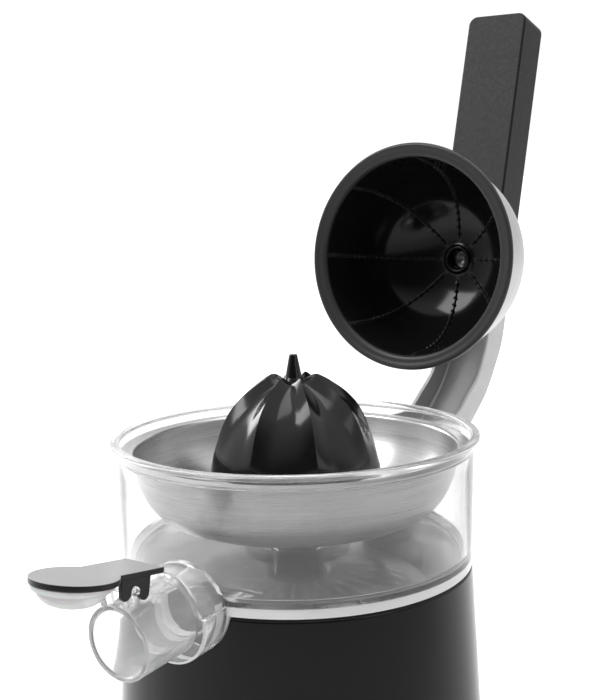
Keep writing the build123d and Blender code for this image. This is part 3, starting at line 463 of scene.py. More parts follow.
k = Mat("grip_black", IOR=1.48, Specular_IOR_Level=0.2)
k.colour(k.noise(420, 5, 0.7), [(0.25, 0.013), (0.75, 0.022)])
side = k.t.nodes.new("ShaderNodeSeparateXYZ")
k.link(k.t.nodes["Texture Coordinate"].outputs["Normal"], side.inputs[0])
# painted shade: where the normal points along x (the grip's sides) the base colour is mixed towards 0.004
shade = k.t.nodes.new("ShaderNodeMix")
shade.data_type = "RGBA"
k.link(k.remap(k.math("ABSOLUTE", side.outputs["X"]), 0, 1, 0.5, 0.8), shade.inputs[0])
k.link(k.b.inputs["Base Color"].links[0].from_socket, shade.inputs[6])
shade.inputs[7].default_value = (0.004, 0.004, 0.004, 1)
k.link(shade.outputs[2], k.b.inputs["Base Color"])
k.rough(k.noise(500, 4, 0.6), 0.4, 0.48)
k.bump(k.noise(2300, 2, 0.6), 0.00003)
k.bump(k.noise(420, 3, 0.6), 0.00001)
M["grip"] = k.m

# clear moulding: nearly clean in the wall and floor, hazier in the spout, and matt in the skirt and the thick collar
k = Mat("clear_plastic", IOR=1.34)
r, a, z = k.polar()
sep = k.t.nodes.new("ShaderNodeSeparateXYZ")
k.link(k.co, sep.inputs[0])
px, py = sep.outputs["X"], sep.outputs["Y"]
off = k.math("SUBTRACT", k.math("MULTIPLY", k.math("SUBTRACT", z, 0.1491), 0.99678), k.math("MULTIPLY", k.math("ADD", py, 0.1189), 0.0802))
from_spout = k.math("SQRT", k.math("ADD", k.math("MULTIPLY", px, px), k.math("MULTIPLY", off, off)))
outside = k.remap(r, 0, 1, 0.0801, 0.0806)
spout_zone = k.math("MULTIPLY", outside, k.remap(z, 1, 0, 0.2, 0.202))
along = k.math("MULTIPLY_ADD", k.math("ADD", py, 0.1189), -0.99678, k.math("MULTIPLY", k.math("SUBTRACT", z, 0.1491), -0.0802))
collar_zone = k.math("MULTIPLY", k.math("MULTIPLY", spout_zone, k.remap(from_spout, 0, 1, 0.0190, 0.0192)), k.math("MULTIPLY", k.remap(along, 0, 1, -0.0296, -0.0288), k.remap(along, 1, 0, -0.0270, -0.0265)))
skirt_zone = k.math("MULTIPLY", k.remap(z, 1, 0, 0.1542, 0.1548), k.math("MULTIPLY", k.remap(r, 0, 1, 0.0755, 0.0762), k.math("SUBTRACT", 1.0, outside)))
lip_zone = k.remap(z, 0, 1, 0.2058, 0.2066)
cloud = k.remap(k.noise(60, 4, 0.6), 0.6, 1.4)
haze = k.math("ADD", k.math("MULTIPLY", spout_zone, 0.1), k.math("MULTIPLY_ADD", lip_zone, 0.12, 0.045))
haze = k.math("MULTIPLY", haze, cloud)
haze = k.math("MAXIMUM", haze, k.math("MAXIMUM", k.math("MULTIPLY", skirt_zone, 0.82), k.math("MULTIPLY", collar_zone, 0.62)))
k.link(k.math("SUBTRACT", 1.0, haze), k.b.inputs["Transmission Weight"])
k.colour(k.math("MAXIMUM", k.noise(40, 3), outside), [(0.35, 0.835), (0.65, 0.865), (1.0, 0.91)])
k.rough(k.noise(90, 3), 0.02, 0.06)
k.bump(k.noise(28, 2, 0.4), 0.00002)
k.lets_lamps_through((0.96, 0.965, 0.965))
M["clear"] = k.m

k = Mat("silicone", Base_Color=(0.9, 0.9, 0.9, 1), IOR=1.41, Transmission_Weight=0.45, Subsurface_Weight=0.3, Subsurface_Scale=0.003)
k.rough(k.noise(120, 3), 0.32, 0.45)
k.bump(k.noise(1500, 2), 0.000006)
M["silicone"] = k.m

k = Mat("silver_paint", Metallic=0.85, IOR=1.5, Coat_Weight=0.0)
k.colour(k.noise(3800, 1, 0.5), [(0.3, 0.46), (0.7, 0.54)])
k.rough(k.noise(60, 4, 0.6), 0.36, 0.44)
k.bump(k.noise(4200, 2, 0.6), 0.000004)
M["silver"] = k.m

k = Mat("silver_casting", Metallic=0.85, IOR=1.5)
k.colour(k.noise(3000, 2, 0.6), [(0.3, 0.44), (0.7, 0.52)])
k.rough(k.noise(80, 4, 0.6), 0.38, 0.48)
k.bump(k.noise(2600, 3, 0.6), 0.00001)
k.bump(k.noise(90, 2, 0.5), 0.00006)
M["cast"] = k.m

# round brushing: streaks that run round the axis
k = Mat("brushed_bowl", Metallic=1.0, Anisotropic=0.8, Anisotropic_Rotation=0.25)
r, a, z = k.polar()
streak = k.noise(1.0, 4, 0.7, k.vec(k.math("MULTIPLY", r, 5200), k.math("MULTIPLY", a, 9), k.math("MULTIPLY", z, 5200)))
broad = k.noise(1.0, 3, 0.6, k.vec(k.math("MULTIPLY", r, 900), k.math("MULTIPLY", a, 3), k.math("MULTIPLY", z, 900)))
k.colour(k.math("ADD", k.math("MULTIPLY", streak, 0.6), k.math("MULTIPLY", broad, 0.4)), [(0.3, 0.42), (0.7, 0.64)])
k.rough(streak, 0.25, 0.34)
# painted light: faces whose normal points upwards (the bowl's inside) get 0.1 added to the base colour, standing in for
# light from above
updown = k.t.nodes.new("ShaderNodeSeparateXYZ")
k.link(k.t.nodes["Texture Coordinate"].outputs["Normal"], updown.inputs[0])
painted_top_light = k.t.nodes.new("ShaderNodeMix")
painted_top_light.data_type, painted_top_light.blend_type = "RGBA", "ADD"
k.link(k.remap(updown.outputs["Z"], 0.0, 1.0, 0.0, 0.1), painted_top_light.inputs[0])
k.link(k.b.inputs["Base Color"].links[0].from_socket, painted_top_light.inputs[6])
painted_top_light.inputs[7].default_value = (0.1, 0.1, 0.1, 1)
k.link(painted_top_light.outputs[2], k.b.inputs["Base Color"])
k.bump(streak, 0.000004)
tan = k.t.nodes.new("ShaderNodeTangent")
tan.direction_type, tan.axis = "RADIAL", "Z"
k.link(tan.outputs[0], k.b.inputs["Tangent"])
M["bowl"] = k.m

k = Mat("polished_plate", Metallic=1.0, Anisotropic=0.8, Anisotropic_Rotation=0.25)
r, a, z = k.polar()
fine = k.noise(1.0, 3, 0.7, k.vec(k.math("MULTIPLY", r, 3000), k.math("MULTIPLY", a, 5), 0.0))
k.colour(fine, [(0.3, 0.50), (0.7, 0.60)])
k.rough(fine, 0.1, 0.17)
k.bump(fine, 0.000003)
k.bump(k.noise(25, 2), 0.00004)
tan = k.t.nodes.new("ShaderNodeTangent")
tan.direction_type, tan.axis = "RADIAL", "Z"
k.link(tan.outputs[0], k.b.inputs["Tangent"])
M["plate"] = k.m


def turned_metal(name, lo, hi, r0, r1, scale=1600, metallic=1.0, bump=0.000004):
    k = Mat(name, Metallic=metallic)
    v = k.noise(1.0, 4, 0.65, k.scaled(scale * 0.05, scale * 0.05, scale))
    k.colour(v, [(0.3, lo), (0.7, hi)])
    k.rough(k.noise(140, 4), r0, r1)
    k.bump(v, bump)
    return k.m


M["steel"] = turned_metal("bright_steel", (0.5, 0.5, 0.51), (0.62, 0.62, 0.63), 0.18, 0.3)
M["zinc"] = turned_metal("zinc_plated", (0.48, 0.49, 0.51), (0.6, 0.61, 0.63), 0.28, 0.42, 900)
M["sheet"] = turned_metal("sheet_steel", (0.4, 0.4, 0.41), (0.5, 0.5, 0.51), 0.32, 0.45, 500)
M["brass"] = turned_metal("sintered_brass", (0.48, 0.34, 0.16), (0.6, 0.45, 0.24), 0.4, 0.55, 1500, 1.0, 0.00002)
M["can"] = turned_metal("motor_can", (0.22, 0.22, 0.23), (0.3, 0.3, 0.31), 0.35, 0.5, 700, 0.8)
k = Mat("natural_nylon", Subsurface_Weight=0.15, Subsurface_Scale=0.002)
k.colour(k.noise(70, 3), [(0.3, (0.72, 0.7, 0.64)), (0.7, (0.8, 0.78, 0.72))])
k.rough(k.noise(200, 3), 0.4, 0.52)
k.bump(k.noise(1800, 2), 0.000008)
M["nylon"] = k.m

for node, key in {
    "motor_housing": "housing", "deck_cover": "housing", "base_plate": "underside", "foot_ring": "rubber", "base_screws": "zinc", "top_plate": "plate",
    "gear_plate_lower": "sheet", "gear_plate_upper": "sheet", "plate_spacers": "zinc", "deck_spacers": "zinc",
    "gearbox_screws": "zinc", "gear_bushes": "brass", "motor_body": "can", "motor_screws": "zinc", "motor_shaft": "steel",
    "motor_pinion": "nylon", "idler_gear": "nylon", "idler_axle": "steel", "output_gear": "nylon", "spindle": "steel",
    "return_spring": "steel", "spindle_bush": "brass", "shaft_seal": "seal_rubber", "switch_body": "switch",
    "switch_plunger": "nylon", "switch_bracket": "sheet", "switch_screws": "zinc", "cord_gland": "rubber",
    "hinge_post": "post", "post_bolts": "zinc", "hinge_pin": "cast", "hinge_washers": "nylon", "juice_container": "clear",
    "strainer_bowl": "bowl", "reamer_cone": "cone", "cup_dome": "silver", "cup_liner": "cup", "cup_screw": "knob",
    "lever_arm": "cast", "handle_grip": "grip", "grip_screw": "zinc", "drip_lever": "drip", "drip_seal": "silicone",
}.items():
    ob = NODES[node]
    ob.data.materials.clear()
    ob.data.materials.append(M[key])
    for p in ob.data.polygons:
        p.material_index = 0
        p.use_smooth = True
    ob.data.set_sharp_from_angle(angle=math.radians(28))

# ------------------------------------------------------------------ frames
ct, st = lean(4.6)
SPOUT = Frame((0, -118.9, 149.1), (1, 0, 0), (0, -ct, -st))
cc, sc = lean(5.35)
CUP = Frame((0, 102.2, 280.6), (1, 0, 0), (0, cc, -sc))
cg, sg = lean(16.51)
GRIP_UP, GRIP_BACK = Vector((0, sg, cg)), Vector((0, cg, -sg))
GRIP_LOW = Vector((0, 206.0, 409.8)) - GRIP_UP * 130
cd, sd = lean(8.2)
DRIP_OUT, DRIP_N = Vector((0, -cd, sd)), Vector((0, sd, cd))
DRIP_C = Vector((0, -118.8, 172.0))
HINGE_Y, HINGE_Z = 94.66, 186.28
SIDE = Frame((0, 0, 0), (0, 1, 0), (1, 0, 0))          # polygons in (y, z), extruded along x

# ------------------------------------------------------------------ motor housing
housing = lathe("housing", fillet(
    [(86.6, 3.0), (79.0, 149.8), (75.95, 149.8), (75.95, 146.9), (73.6, 146.9), (76.2, 144.0), (83.75, 3.0)],
    [1.4, 1.3, 0.3, 0.0, 0.4, 0.5, 0.5], 6), 320)
deck = lathe("deck", fillet(
    [(75.8, 147.0), (75.8, 149.8), (75.4, 149.8), (75.4, 151.0), (9.6, 151.0), (9.6, 178.0), (7.6, 178.0), (7.6, 147.0)],
    [0.4, 0, 0, 0.5, 0.6, 0.5, 0.4, 0], 5), 320)
for ob in (housing, deck):
    cut(ob, lathe("c", fillet([(0, 40), (20.8, 40), (20.8, -65.6), (0, -65.6)], 0), 128, SPOUT))
    cut(ob, block("c", (-20.8, 20.8), (-104.5, -55.5), (152.1, 192.1)))
settle(deck, "base", M["housing"], ["deck_cover"], 32)
arc = [(20.8 * math.cos(w), 20.8 * math.sin(w)) for w in [math.radians(-166 + 152 * i / 40) for i in range(41)]]
arc += [(23.6 * math.cos(w), 23.6 * math.sin(w)) for w in [math.radians(-14 - 152 * i / 40) for i in range(41)]]
groove = slab("groove", arc, -67.0, -41.0, 0, SPOUT)
cut(groove, lathe("c", [(0, 60), (83.46, 60), (79.1, 146.8), (0, 146.8)], 320), "INTERSECT")
join(housing, groove)
settle(housing, "base", M["housing"], ["motor_housing"], 32)

# ------------------------------------------------------------------ juice container
wall = lathe("wall", fillet(
    [(78.9, 150.3), (79.0, 157.5), (79.9, 196.0), (80.0, 206.3), (82.5, 206.6), (82.5, 209.0), (78.8, 209.0), (78.7, 202.3),
     (77.3, 202.3), (76.6, 158.0), (74.0, 155.2), (12.3, 155.2), (12.3, 184.0), (10.2, 184.0), (10.2, 152.7), (76.1, 152.7),
     (76.1, 150.3)],
    [0.5, 0, 0, 0.7, 0.9, 1.0, 0.7, 0.4, 0.6, 2, 2, 1.2, 0.5, 0.5, 0.5, 0.6, 0.4], 5), 320)
tube = lathe("tube", fillet([(0, 0), (15.5, 0), (16.0, -59.0), (0, -59.0)], [0, 0.7, 0, 0], 6), 128, SPOUT)
boss = lathe("boss", fillet([(0, -27.6), (18.9, -27.6), (18.9, -59.6), (0, -59.6)], [0, 1.6, 0, 0], 6), 128, SPOUT)
ring = [(20.2 * math.cos(w), 20.2 * math.sin(w)) for w in [math.radians(-186 + 192 * i / 64) for i in range(65)]]
collar = slab("collar", fillet(ring, [1.0] + [0] * 63 + [1.0], 4), -59.6, -27.6, 0.6, SPOUT)
spout = cut(cut(tube, boss, "UNION"), collar, "UNION")
cut(spout, lathe("c", fillet([(0, 154.2), (75.4, 154.2), (77.4, 157.0), (78.0, 230.0), (0, 230.0)], 0), 256))
# lugs for the drip lever
for x0 in (-7.5, 4.1):
    poly = fillet([(-114.2, 160.6), (-116.2, 173.5), (-117.2, 174.8), (-120.4, 174.8), (-121.6, 173.0), (-118.7, 160.6)], [0, 1, 1.2, 1.2, 1, 0], 4)
    cut(spout, slab("lug", poly, x0, x0 + 3.4, 0.4, SIDE), "UNION")
pin = lathe("pin", fillet([(0, -11.2), (1.8, -11.2), (1.8, 11.2), (0, 11.2)], [0, 0.4, 0.4, 0], 4), 32, Frame(DRIP_C, (0, 1, 0), (1, 0, 0)))
cut(spout, pin, "UNION")
container = cut(wall, spout, "UNION")
cut(container, lathe("c", fillet([(0, 1), (14.2, 1), (13.3, -0.8), (13.3, -54.0), (0, -54.0)], [0, 0, 0.8, 2, 0], 6), 128, SPOUT))
container.name = container.data.name = "container"
settle(container, "container", M["clear"], ["juice_container"], 38)

# ------------------------------------------------------------------ strainer bowl
# the middle of a sheet 0.8 thick, from the flange to the chimney; slots are left out, then it is thickened both ways
OUT = spline([(72.8, 201.6), (72.5, 197.0), (71.6, 191.1), (69.85, 186.2), (66.9, 180.9), (62.35, 176.2), (55.35, 172.4),
              (45.9, 170.0), (34.0, 168.8), (20.0, 168.4)], 7)
sheet = fillet([(78.2, 202.9), (72.85, 202.9)] + OUT + [(16.05, 168.4), (13.8, 170.65), (13.8, 189.0)], [0, 0.9] + [0] * len(OUT) + [1.2, 1.2, 0], 5, False)
N = 480
verts, faces = [], []
pts, seen = [], set()
for p in sheet:
    pts.append(p)
# finer rings where the slots are, so that their ends are square to the radius
fine = []
for i in range(len(pts) - 1):
    (r0, z0), (r1, z1) = pts[i], pts[i + 1]
    m = max(1, int(abs(r1 - r0) / 0.9)) if r1 < 54 else 1
    for j in range(m):
        fine.append((r0 + (r1 - r0) * j / m, z0 + (z1 - z0) * j / m))
fine.append(pts[-1])
for r, z in fine:
    for k in range(N):
        w = 2 * math.pi * k / N
        verts.append((r * math.cos(w), r * math.sin(w), z))


def slotted(r, w):
    for count, phase, rc, half_len in ((30, 0.0, 30.5, 7.5), (48, 3.75, 47.5, 4.5)):
        if abs(r - rc) < half_len:
            step = 360 / count
            d = (math.degrees(w) - phase + step / 2) % step - step / 2
            end = half_len - abs(r - rc)
            wide = 0.95 if end > 0.9 else 0.55
            if abs(math.radians(d)) * r < wide:
                return True
    return False


for i in range(len(fine) - 1):
    rm = (fine[i][0] + fine[i + 1][0]) / 2
    for k in range(N):
        j = (k + 1) % N
        if rm < 53 and slotted(rm, 2 * math.pi * (k + 0.5) / N):
            continue
        faces.append((i * N + k, i * N + j, (i + 1) * N + j, (i + 1) * N + k))
bowl = raw("bowl", verts, faces)
m = bowl.modifiers.new("thick", "SOLIDIFY")
m.thickness, m.offset = 0.00079, 0.0
bake(bowl)
settle(bowl, "container", M["bowl"], ["strainer_bowl"], 40)

# ------------------------------------------------------------------ reamer cone
PANEL = spline([(4.5, 232.2), (8.6, 231.3), (14.6, 228.2), (21.6, 223.2), (27.6, 216.9), (32.6, 209.0), (36.5, 200.5), (37.95, 195.0)], 8)
RIDGE = spline([(4.4, 232.5), (7.2, 234.0), (10.4, 234.8), (13.6, 233.5), (17.8, 230.9), (24.4, 225.9), (29.9, 219.6), (34.2, 211.0), (37.6, 200.0), (38.1, 195.0)], 7)


def resample(pts, n):
    d = [0.0]
    for p, q in zip(pts, pts[1:]):
        d.append(d[-1] + math.dist(p, q))
    out, i = [], 0
    for k in range(n):
        t = d[-1] * k / (n - 1)
        while i < len(d) - 2 and d[i + 1] < t:
            i += 1
        f = (t - d[i]) / max(d[i + 1] - d[i], 1e-9)
        out.append((pts[i][0] + (pts[i + 1][0] - pts[i][0]) * f, pts[i][1] + (pts[i + 1][1] - pts[i][1]) * f))
    return out


ROWS = 64
panel, ridge = resample(PANEL, ROWS), resample(RIDGE, ROWS)
offs = [-1.0, -0.86, -0.7, -0.54, -0.4, -0.28, -0.18, -0.1, -0.045, 0.0]      # share of half a sector, ridge at 0
offs = offs + [-o for o in reversed(offs[1:-1])]
cols = [(45 * s + 4.4, o * 22.5) for s in range(8) for o in offs]
verts, faces = [], []
for i in range(ROWS):
    t = i / (ROWS - 1)
    rp, rr = panel[i], ridge[i]
    foot = 2.6 + 4.6 * min(1, t * 2.0)                                        # half width of the rib, mm
    for base, o in cols:
        s = abs(math.radians(o)) * max(rr[0], 4.0)
        w = max(0.0, 1 - s / foot)
        w = w ** 1.12 if w > 0 else 0.0
        dish = 0.3 * math.sin(math.pi * min(1, max(0, (s - foot) / max(1e-6, math.radians(22.5) * rr[0] - foot))) / 2) * min(1, 4 * t * (1 - t))
        r = rp[0] * (1 - w) + rr[0] * w - dish
        z = rp[1] * (1 - w) + rr[1] * w - dish * 0.5
        verts.append((r * math.cos(math.radians(base + o)), r * math.sin(math.radians(base + o)), z))
C = len(cols)
for i in range(ROWS - 1):
    for k in range(C):
        j = (k + 1) % C
        faces.append((i * C + k, (i + 1) * C + k, (i + 1) * C + j, i * C + j))
# plain band at the foot, turned under into the hollow
last = (ROWS - 1) * C
for q, (r, z) in enumerate([(38.2, 194.2), (38.2, 192.5), (37.7, 192.0), (34.6, 192.0), (34.4, 196.6), (30.9, 205.6), (25.9, 213.4), (20.0, 219.4), (13.4, 224.2), (9.2, 226.4),
                            (9.2, 188.9), (8.7, 188.4), (4.7, 188.4), (4.7, 216.0)]):
    start = len(verts)
    for base, o in cols:
        w = math.radians(base + o)
        verts.append((r * math.cos(w), r * math.sin(w), z))
    for k in range(C):
        j = (k + 1) % C
        faces.append((last + k, start + k, start + j, last + j))
    last = start
verts.append((0, 0, 216.0))
for k in range(C):
    faces.append((last + k, len(verts) - 1, last + (k + 1) % C))
cone = raw("cone", verts, faces)
pinp = fillet([(4.9, 231.4), (4.3, 232.8), (3.7, 234.0), (1.75, 244.2), (0, 244.2)], [0, 0.6, 0.8, 0.5, 0], 4, False)
top = lathe("locating_pin", pinp, 40, WORLD, False)
join(cone, top)
settle(cone, "cone", M["cone"], ["reamer_cone"], 33)

# ------------------------------------------------------------------ press cup
DOME_R, DOME_D, DOME_P, CUP_DEPTH = 52.8, 60.0, 2.8, 55.2


def cup_profile(r0, d0, p, first, last_r, count=46):
    pts = []
    for k in range(count):
        r = r0 * math.cos(math.pi / 2 * k / (count - 1))
        d = d0 * max(0.0, 1 - (r / r0) ** p) ** (1 / p)
        if d >= first and r >= last_r:
            pts.append((r, d))
    return pts


outer = [(DOME_R, 3.4)] + cup_profile(DOME_R, DOME_D, DOME_P, 5, 8.2) + [(8.0, DOME_D - 0.15), (8.0, DOME_D - 1.2)]
inner = [(DOME_R - 1.2, 3.2)] + cup_profile(DOME_R - 1.2, DOME_D - 1.2, DOME_P, 5, 8.4)
dome = lathe("dome", outer + inner[::-1] + [(DOME_R - 0.9, 3.0), (DOME_R - 0.3, 3.0)], 256, CUP)
settle(dome, "lever", M["silver"], ["cup_dome"], 40)

face = cup_profile(50.5, CUP_DEPTH + 1.0, DOME_P, 4.5, 8.2)
back = cup_profile(DOME_R - 1.5, DOME_D - 1.5, DOME_P, 5, 8.2)
rim = spline([(50.5, 3.4), (50.75, 2.0), (51.4, 1.1), (52.5, 0.75), (54.0, 0.55), (55.8, 0.15), (56.8, 0.1), (57.5, 0.5), (57.8, 1.3), (57.75, 2.2), (57.2, 2.9), (56.0, 3.05)], 4) + [(51.2, 3.0)]
boss_in = fillet([(7.6, CUP_DEPTH + 0.4), (7.2, CUP_DEPTH - 1.2), (5.9, CUP_DEPTH - 1.2), (4.9, CUP_DEPTH + 0.4), (4.7, 60.2), (4.7, 62.2), (2.6, 62.2)], [0.4, 0.7, 0.7, 0.8, 0, 0, 0], 5, False)
liner = lathe("liner", rim + back + [(7.7, DOME_D - 1.6), (7.7, 63.6), (2.6, 63.6)] + boss_in[::-1] + face[::-1], 256, CUP)

# pressing ribs: a low fin with a row of teeth nearer the middle, smooth towards the rim
path = resample([(50.45, 5.0)] + cup_profile(50.5, CUP_DEPTH + 1.0, DOME_P, 5.2, 8.6), 60)
extra = []
verts, faces = [], []


def normal_in(pts, i):
    a, b = pts[max(0, i - 1)], pts[min(len(pts) - 1, i + 1)]
    n = math.hypot(b[0] - a[0], b[1] - a[1])
    return -(b[1] - a[1]) / n, (b[0] - a[0]) / n      # towards the cup's inside


def rib_point(k, r, d, across, lift, n):
    w = math.radians(45 * k)
    q = Vector((math.cos(w), math.sin(w))) * (r + n[0] * lift) + Vector((-math.sin(w), math.cos(w))) * across
    return CUP.at(q.x, q.y, d + n[1] * lift)


sgn = 1
for kk in range(8):
    start, rows = len(verts), 0
    for i in range(3, 58):
        n = normal_in(path, i)
        if n[0] > 0:
            n = (-n[0], -n[1])
        r, d = path[i]
        h = 1.15 * min(1, (i - 2) / 4, (58 - i) / 2)
        for across, lift in ((-0.8, -0.3), (-0.6, h * 0.55), (-0.25, h), (0.25, h), (0.6, h * 0.55), (0.8, -0.3)):
            verts.append(rib_point(kk, r, d, across, lift, n))
        rows += 1
    for i in range(rows - 1):
        for j in range(5):
            a = start + i * 6 + j
            faces.append((a, a + 1, a + 7, a + 6))
    faces.append(tuple(start + j for j in range(6)))
    faces.append(tuple(start + (rows - 1) * 6 + j for j in range(6)))
    for i in range(16, 58, 3):
        n = normal_in(path, i)
        if n[0] > 0:
            n = (-n[0], -n[1])
        r, d = path[i]
        tx, tz = -n[1], n[0]
        base = len(verts)
        for lat in range(5):
            e = math.pi / 2 * lat / 5
            for lon in range(10):
                g = 2 * math.pi * lon / 10
                u, v, h = 1.15 * math.cos(e) * math.cos(g), 1.15 * math.cos(e) * math.sin(g), 2.2 * math.sin(e) - 0.25
                w = math.radians(45 * kk)
                rr, dd = r + n[0] * h + tx * u, d + n[1] * h + tz * u
                q = Vector((math.cos(w), math.sin(w))) * rr + Vector((-math.sin(w), math.cos(w))) * v
                verts.append(CUP.at(q.x, q.y, dd))
        verts.append(rib_point(kk, r, d, 0.0, 1.95, n))
        for lat in range(4):
            for lon in range(10):
                j = (lon + 1) % 10
                faces.append((base + lat * 10 + lon, base + lat * 10 + j, base + lat * 10 + 10 + j, base + lat * 10 + 10 + lon))
        for lon in range(10):
            faces.append((base + 40 + lon, base + 40 + (lon + 1) % 10, base + 50))
ribs = raw("ribs", verts, faces)
join(liner, ribs)
settle(liner, "lever", M["cup"], ["cup_liner"], 38)
knob = lathe("cup_knob", [(0, 61.7), (1.2, 61.6), (2.4, 61.2), (3.5, 60.7), (4.2, 60.5), (4.6, 60.6), (4.6, 62.0), (2.3, 62.0), (2.3, 77.0), (0, 77.0)], 64, CUP)
settle(knob, "lever", M["knob"], ["cup_screw"], 40)

# ------------------------------------------------------------------ lever arm
front = spline([(GRIP_LOW.y + 1.5 * cg - 0.3 * sg, GRIP_LOW.z - 1.5 * sg - 0.3 * cg), (169.2, 266.0), (166.0, 250.0), (162.5, 231.2),
                (157.1, 220.9), (150.1, 211.6), (138.8, 203.9), (126.3, 196.4), (110.0, 195.8), (HINGE_Y + 2.0, HINGE_Z + 11.0)], 8)
lobe = [(HINGE_Y + 11.1 * math.cos(w), HINGE_Z + 11.1 * math.sin(w)) for w in [math.radians(84 + 96 * i / 14) for i in range(15)]]
rear = spline([(84.4, 176.0), (96.0, 168.4), (108.0, 167.6), (122.0, 173.0), (144.8, 188.8), (161.8, 201.6), (173.0, 215.0),
               (181.4, 227.6), (186.2, 242.4), (190.0, 260.0),
               (GRIP_LOW.y + 22.3 * cg - 0.3 * sg, GRIP_LOW.z - 22.3 * sg - 0.3 * cg)], 8)
outline = front[:-1] + lobe + rear
arm = slab("arm", outline, -15.2, 15.2, 1.3, SIDE, 5)
web = spline([(180.0, 253.0), (183.4, 243.4), (178.8, 229.4), (170.6, 216.9), (159.8, 204.0), (143.4, 191.4), (121.5, 176.3)], 8)
channel = [(140, 252), (165.0, 256.5), (176.0, 257.5)] + web + [(117.5, 173.0), (117.5, 160.0), (70, 160.0), (70, 215)]
pad = lathe("pad", fillet([(0, 60.4), (11.0, 60.4), (11.0, 80.0), (0, 80.0)], [0, 0.8, 0, 0], 5), 96, CUP)
cut(arm, pad, "UNION")
cut(arm, slab("c", channel, -12.4, 12.4, 1.4, SIDE, 5))
cut(arm, lathe("c", [(0, 60), (8, 60), (8, 64), (2.45, 64), (2.45, 78), (0, 78)], 64, CUP))
cut(arm, lathe("c", [(0, -17), (4.06, -17), (4.06, 17), (0, 17)], 64, Frame((0, HINGE_Y, HINGE_Z), (0, 1, 0), (1, 0, 0))))
top_cut = slab("c", [(-30, -45), (30, -45), (30, 45), (-30, 45)], 0, 30, 0, Frame(GRIP_LOW - GRIP_UP * 0.3, (1, 0, 0), GRIP_UP))
cut(arm, top_cut)
tang = slab("tang", fillet([(-10, -5.5), (10, -5.5), (10, 5.5), (-10, 5.5)], 2, 4), -3, 95, 0.5, Frame(GRIP_LOW + GRIP_BACK * 11.9, (1, 0, 0), GRIP_UP))
join(arm, tang)
settle(arm, "lever", M["cast"], ["lever_arm"], 32, True)

# ------------------------------------------------------------------ grip
GF = Frame(GRIP_LOW + GRIP_BACK * 23.8, (1, 0, 0), -GRIP_BACK)      # face seen from the front: x across, y up, z towards the cup
face_poly = fillet([(-17.5, 0), (17.5, 0), (17.5, 130), (-17.5, 130)], [1.2, 1.2, 5.0, 5.0], 10)
fy = GF.y
if fy.dot(GRIP_UP) < 0:
    GF = Frame(GF.o, (-1, 0, 0), -GRIP_BACK)
grip = slab("grip", face_poly, 0, 23.8, 1.2, GF, 6)
screw_at = GRIP_LOW + GRIP_UP * 60 + GRIP_BACK * 23.8
SF = Frame(screw_at, (1, 0, 0), GRIP_BACK)
cut(grip, lathe("c", [(0, 1), (3.1, 1), (3.1, -3.2), (1.8, -3.2), (1.8, -7), (0, -7)], 48, SF))
cut(grip, slab("c", fillet([(-10.2, -5.7), (10.2, -5.7), (10.2, 5.7), (-10.2, 5.7)], 2.1, 4), -1, 96.5, 0, Frame(GRIP_LOW + GRIP_BACK * 11.9, (1, 0, 0), GRIP_UP)))
settle(grip, "lever", M["grip"], ["handle_grip"], 32, True)

# ------------------------------------------------------------------ drip-stop lever
DF = Frame(DRIP_C + DRIP_N * 7.0, (-1, 0, 0), DRIP_N)               # x across, y out along the plate
a0 = math.atan2(-math.sqrt(16.7 ** 2 - 10.3 ** 2), 10.3)
disc = [(16.68 * math.cos(w), 21.6 + 16.68 * math.sin(w)) for w in [a0 + (math.pi - 2 * a0) * i / 72 for i in range(73)]]
plate = fillet([(-10.3, -16.1), (10.3, -16.1)] + disc, [0.9, 0.9, 0.8] + [0] * 71 + [0.8], 4)
drip = slab("drip_plate", plate, -2.3, 0, 0.35, DF, 3)
for x0 in (-10.3, 8.5):
    c = 4.9
    cheek = [(-7.6, c), (-7.2, -1.0)] + [(-7.2 + 2.3 * (1 - math.cos(w)), -1.0 - 2.3 * math.sin(w)) for w in [math.radians(90 * i / 6) for i in range(1, 7)]]
    cheek += [(-3.4, -3.0), (-2.2, -1.9), (-1.9, -0.6)] + [(-1.9 * math.cos(w), 1.9 * math.sin(w)) for w in [math.radians(180 * i / 12) for i in range(13)]]
    cheek += [(1.9, -0.9), (2.6, -2.6), (4.4, -4.0), (6.0, -4.2), (7.4, -3.3), (8.0, -1.6), (8.2, c)]
    CF = Frame(DRIP_C, -DRIP_OUT, (1, 0, 0))
    if CF.y.dot(DRIP_N) < 0:
        CF = Frame(DRIP_C, DRIP_OUT, (1, 0, 0))
        cheek = [(-p, q) for p, q in cheek]
    join(drip, slab("cheek", cheek, x0, x0 + 1.8, 0.25, CF, 3))
settle(drip, "drip", M["drip"], ["drip_lever"], 34, True)

SEAL = Frame(DRIP_C + DRIP_OUT * 22.6 + DRIP_N * 4.65, (1, 0, 0), -DRIP_N)
dome_pts = spline([(12.85, 2.9), (12.6, 3.9), (11.6, 5.4), (9.2, 7.2), (5.0, 8.6), (0, 9.0)], 6)
seal = lathe("seal", fillet([(0, 0.0), (15.4, 0), (15.4, 1.4), (14.4, 2.4), (13.0, 2.5)], [0, 0.4, 0.8, 0.8, 0], 4, False) + dome_pts, 96, SEAL)
settle(seal, "drip", M["silicone"], ["drip_seal"], 45)

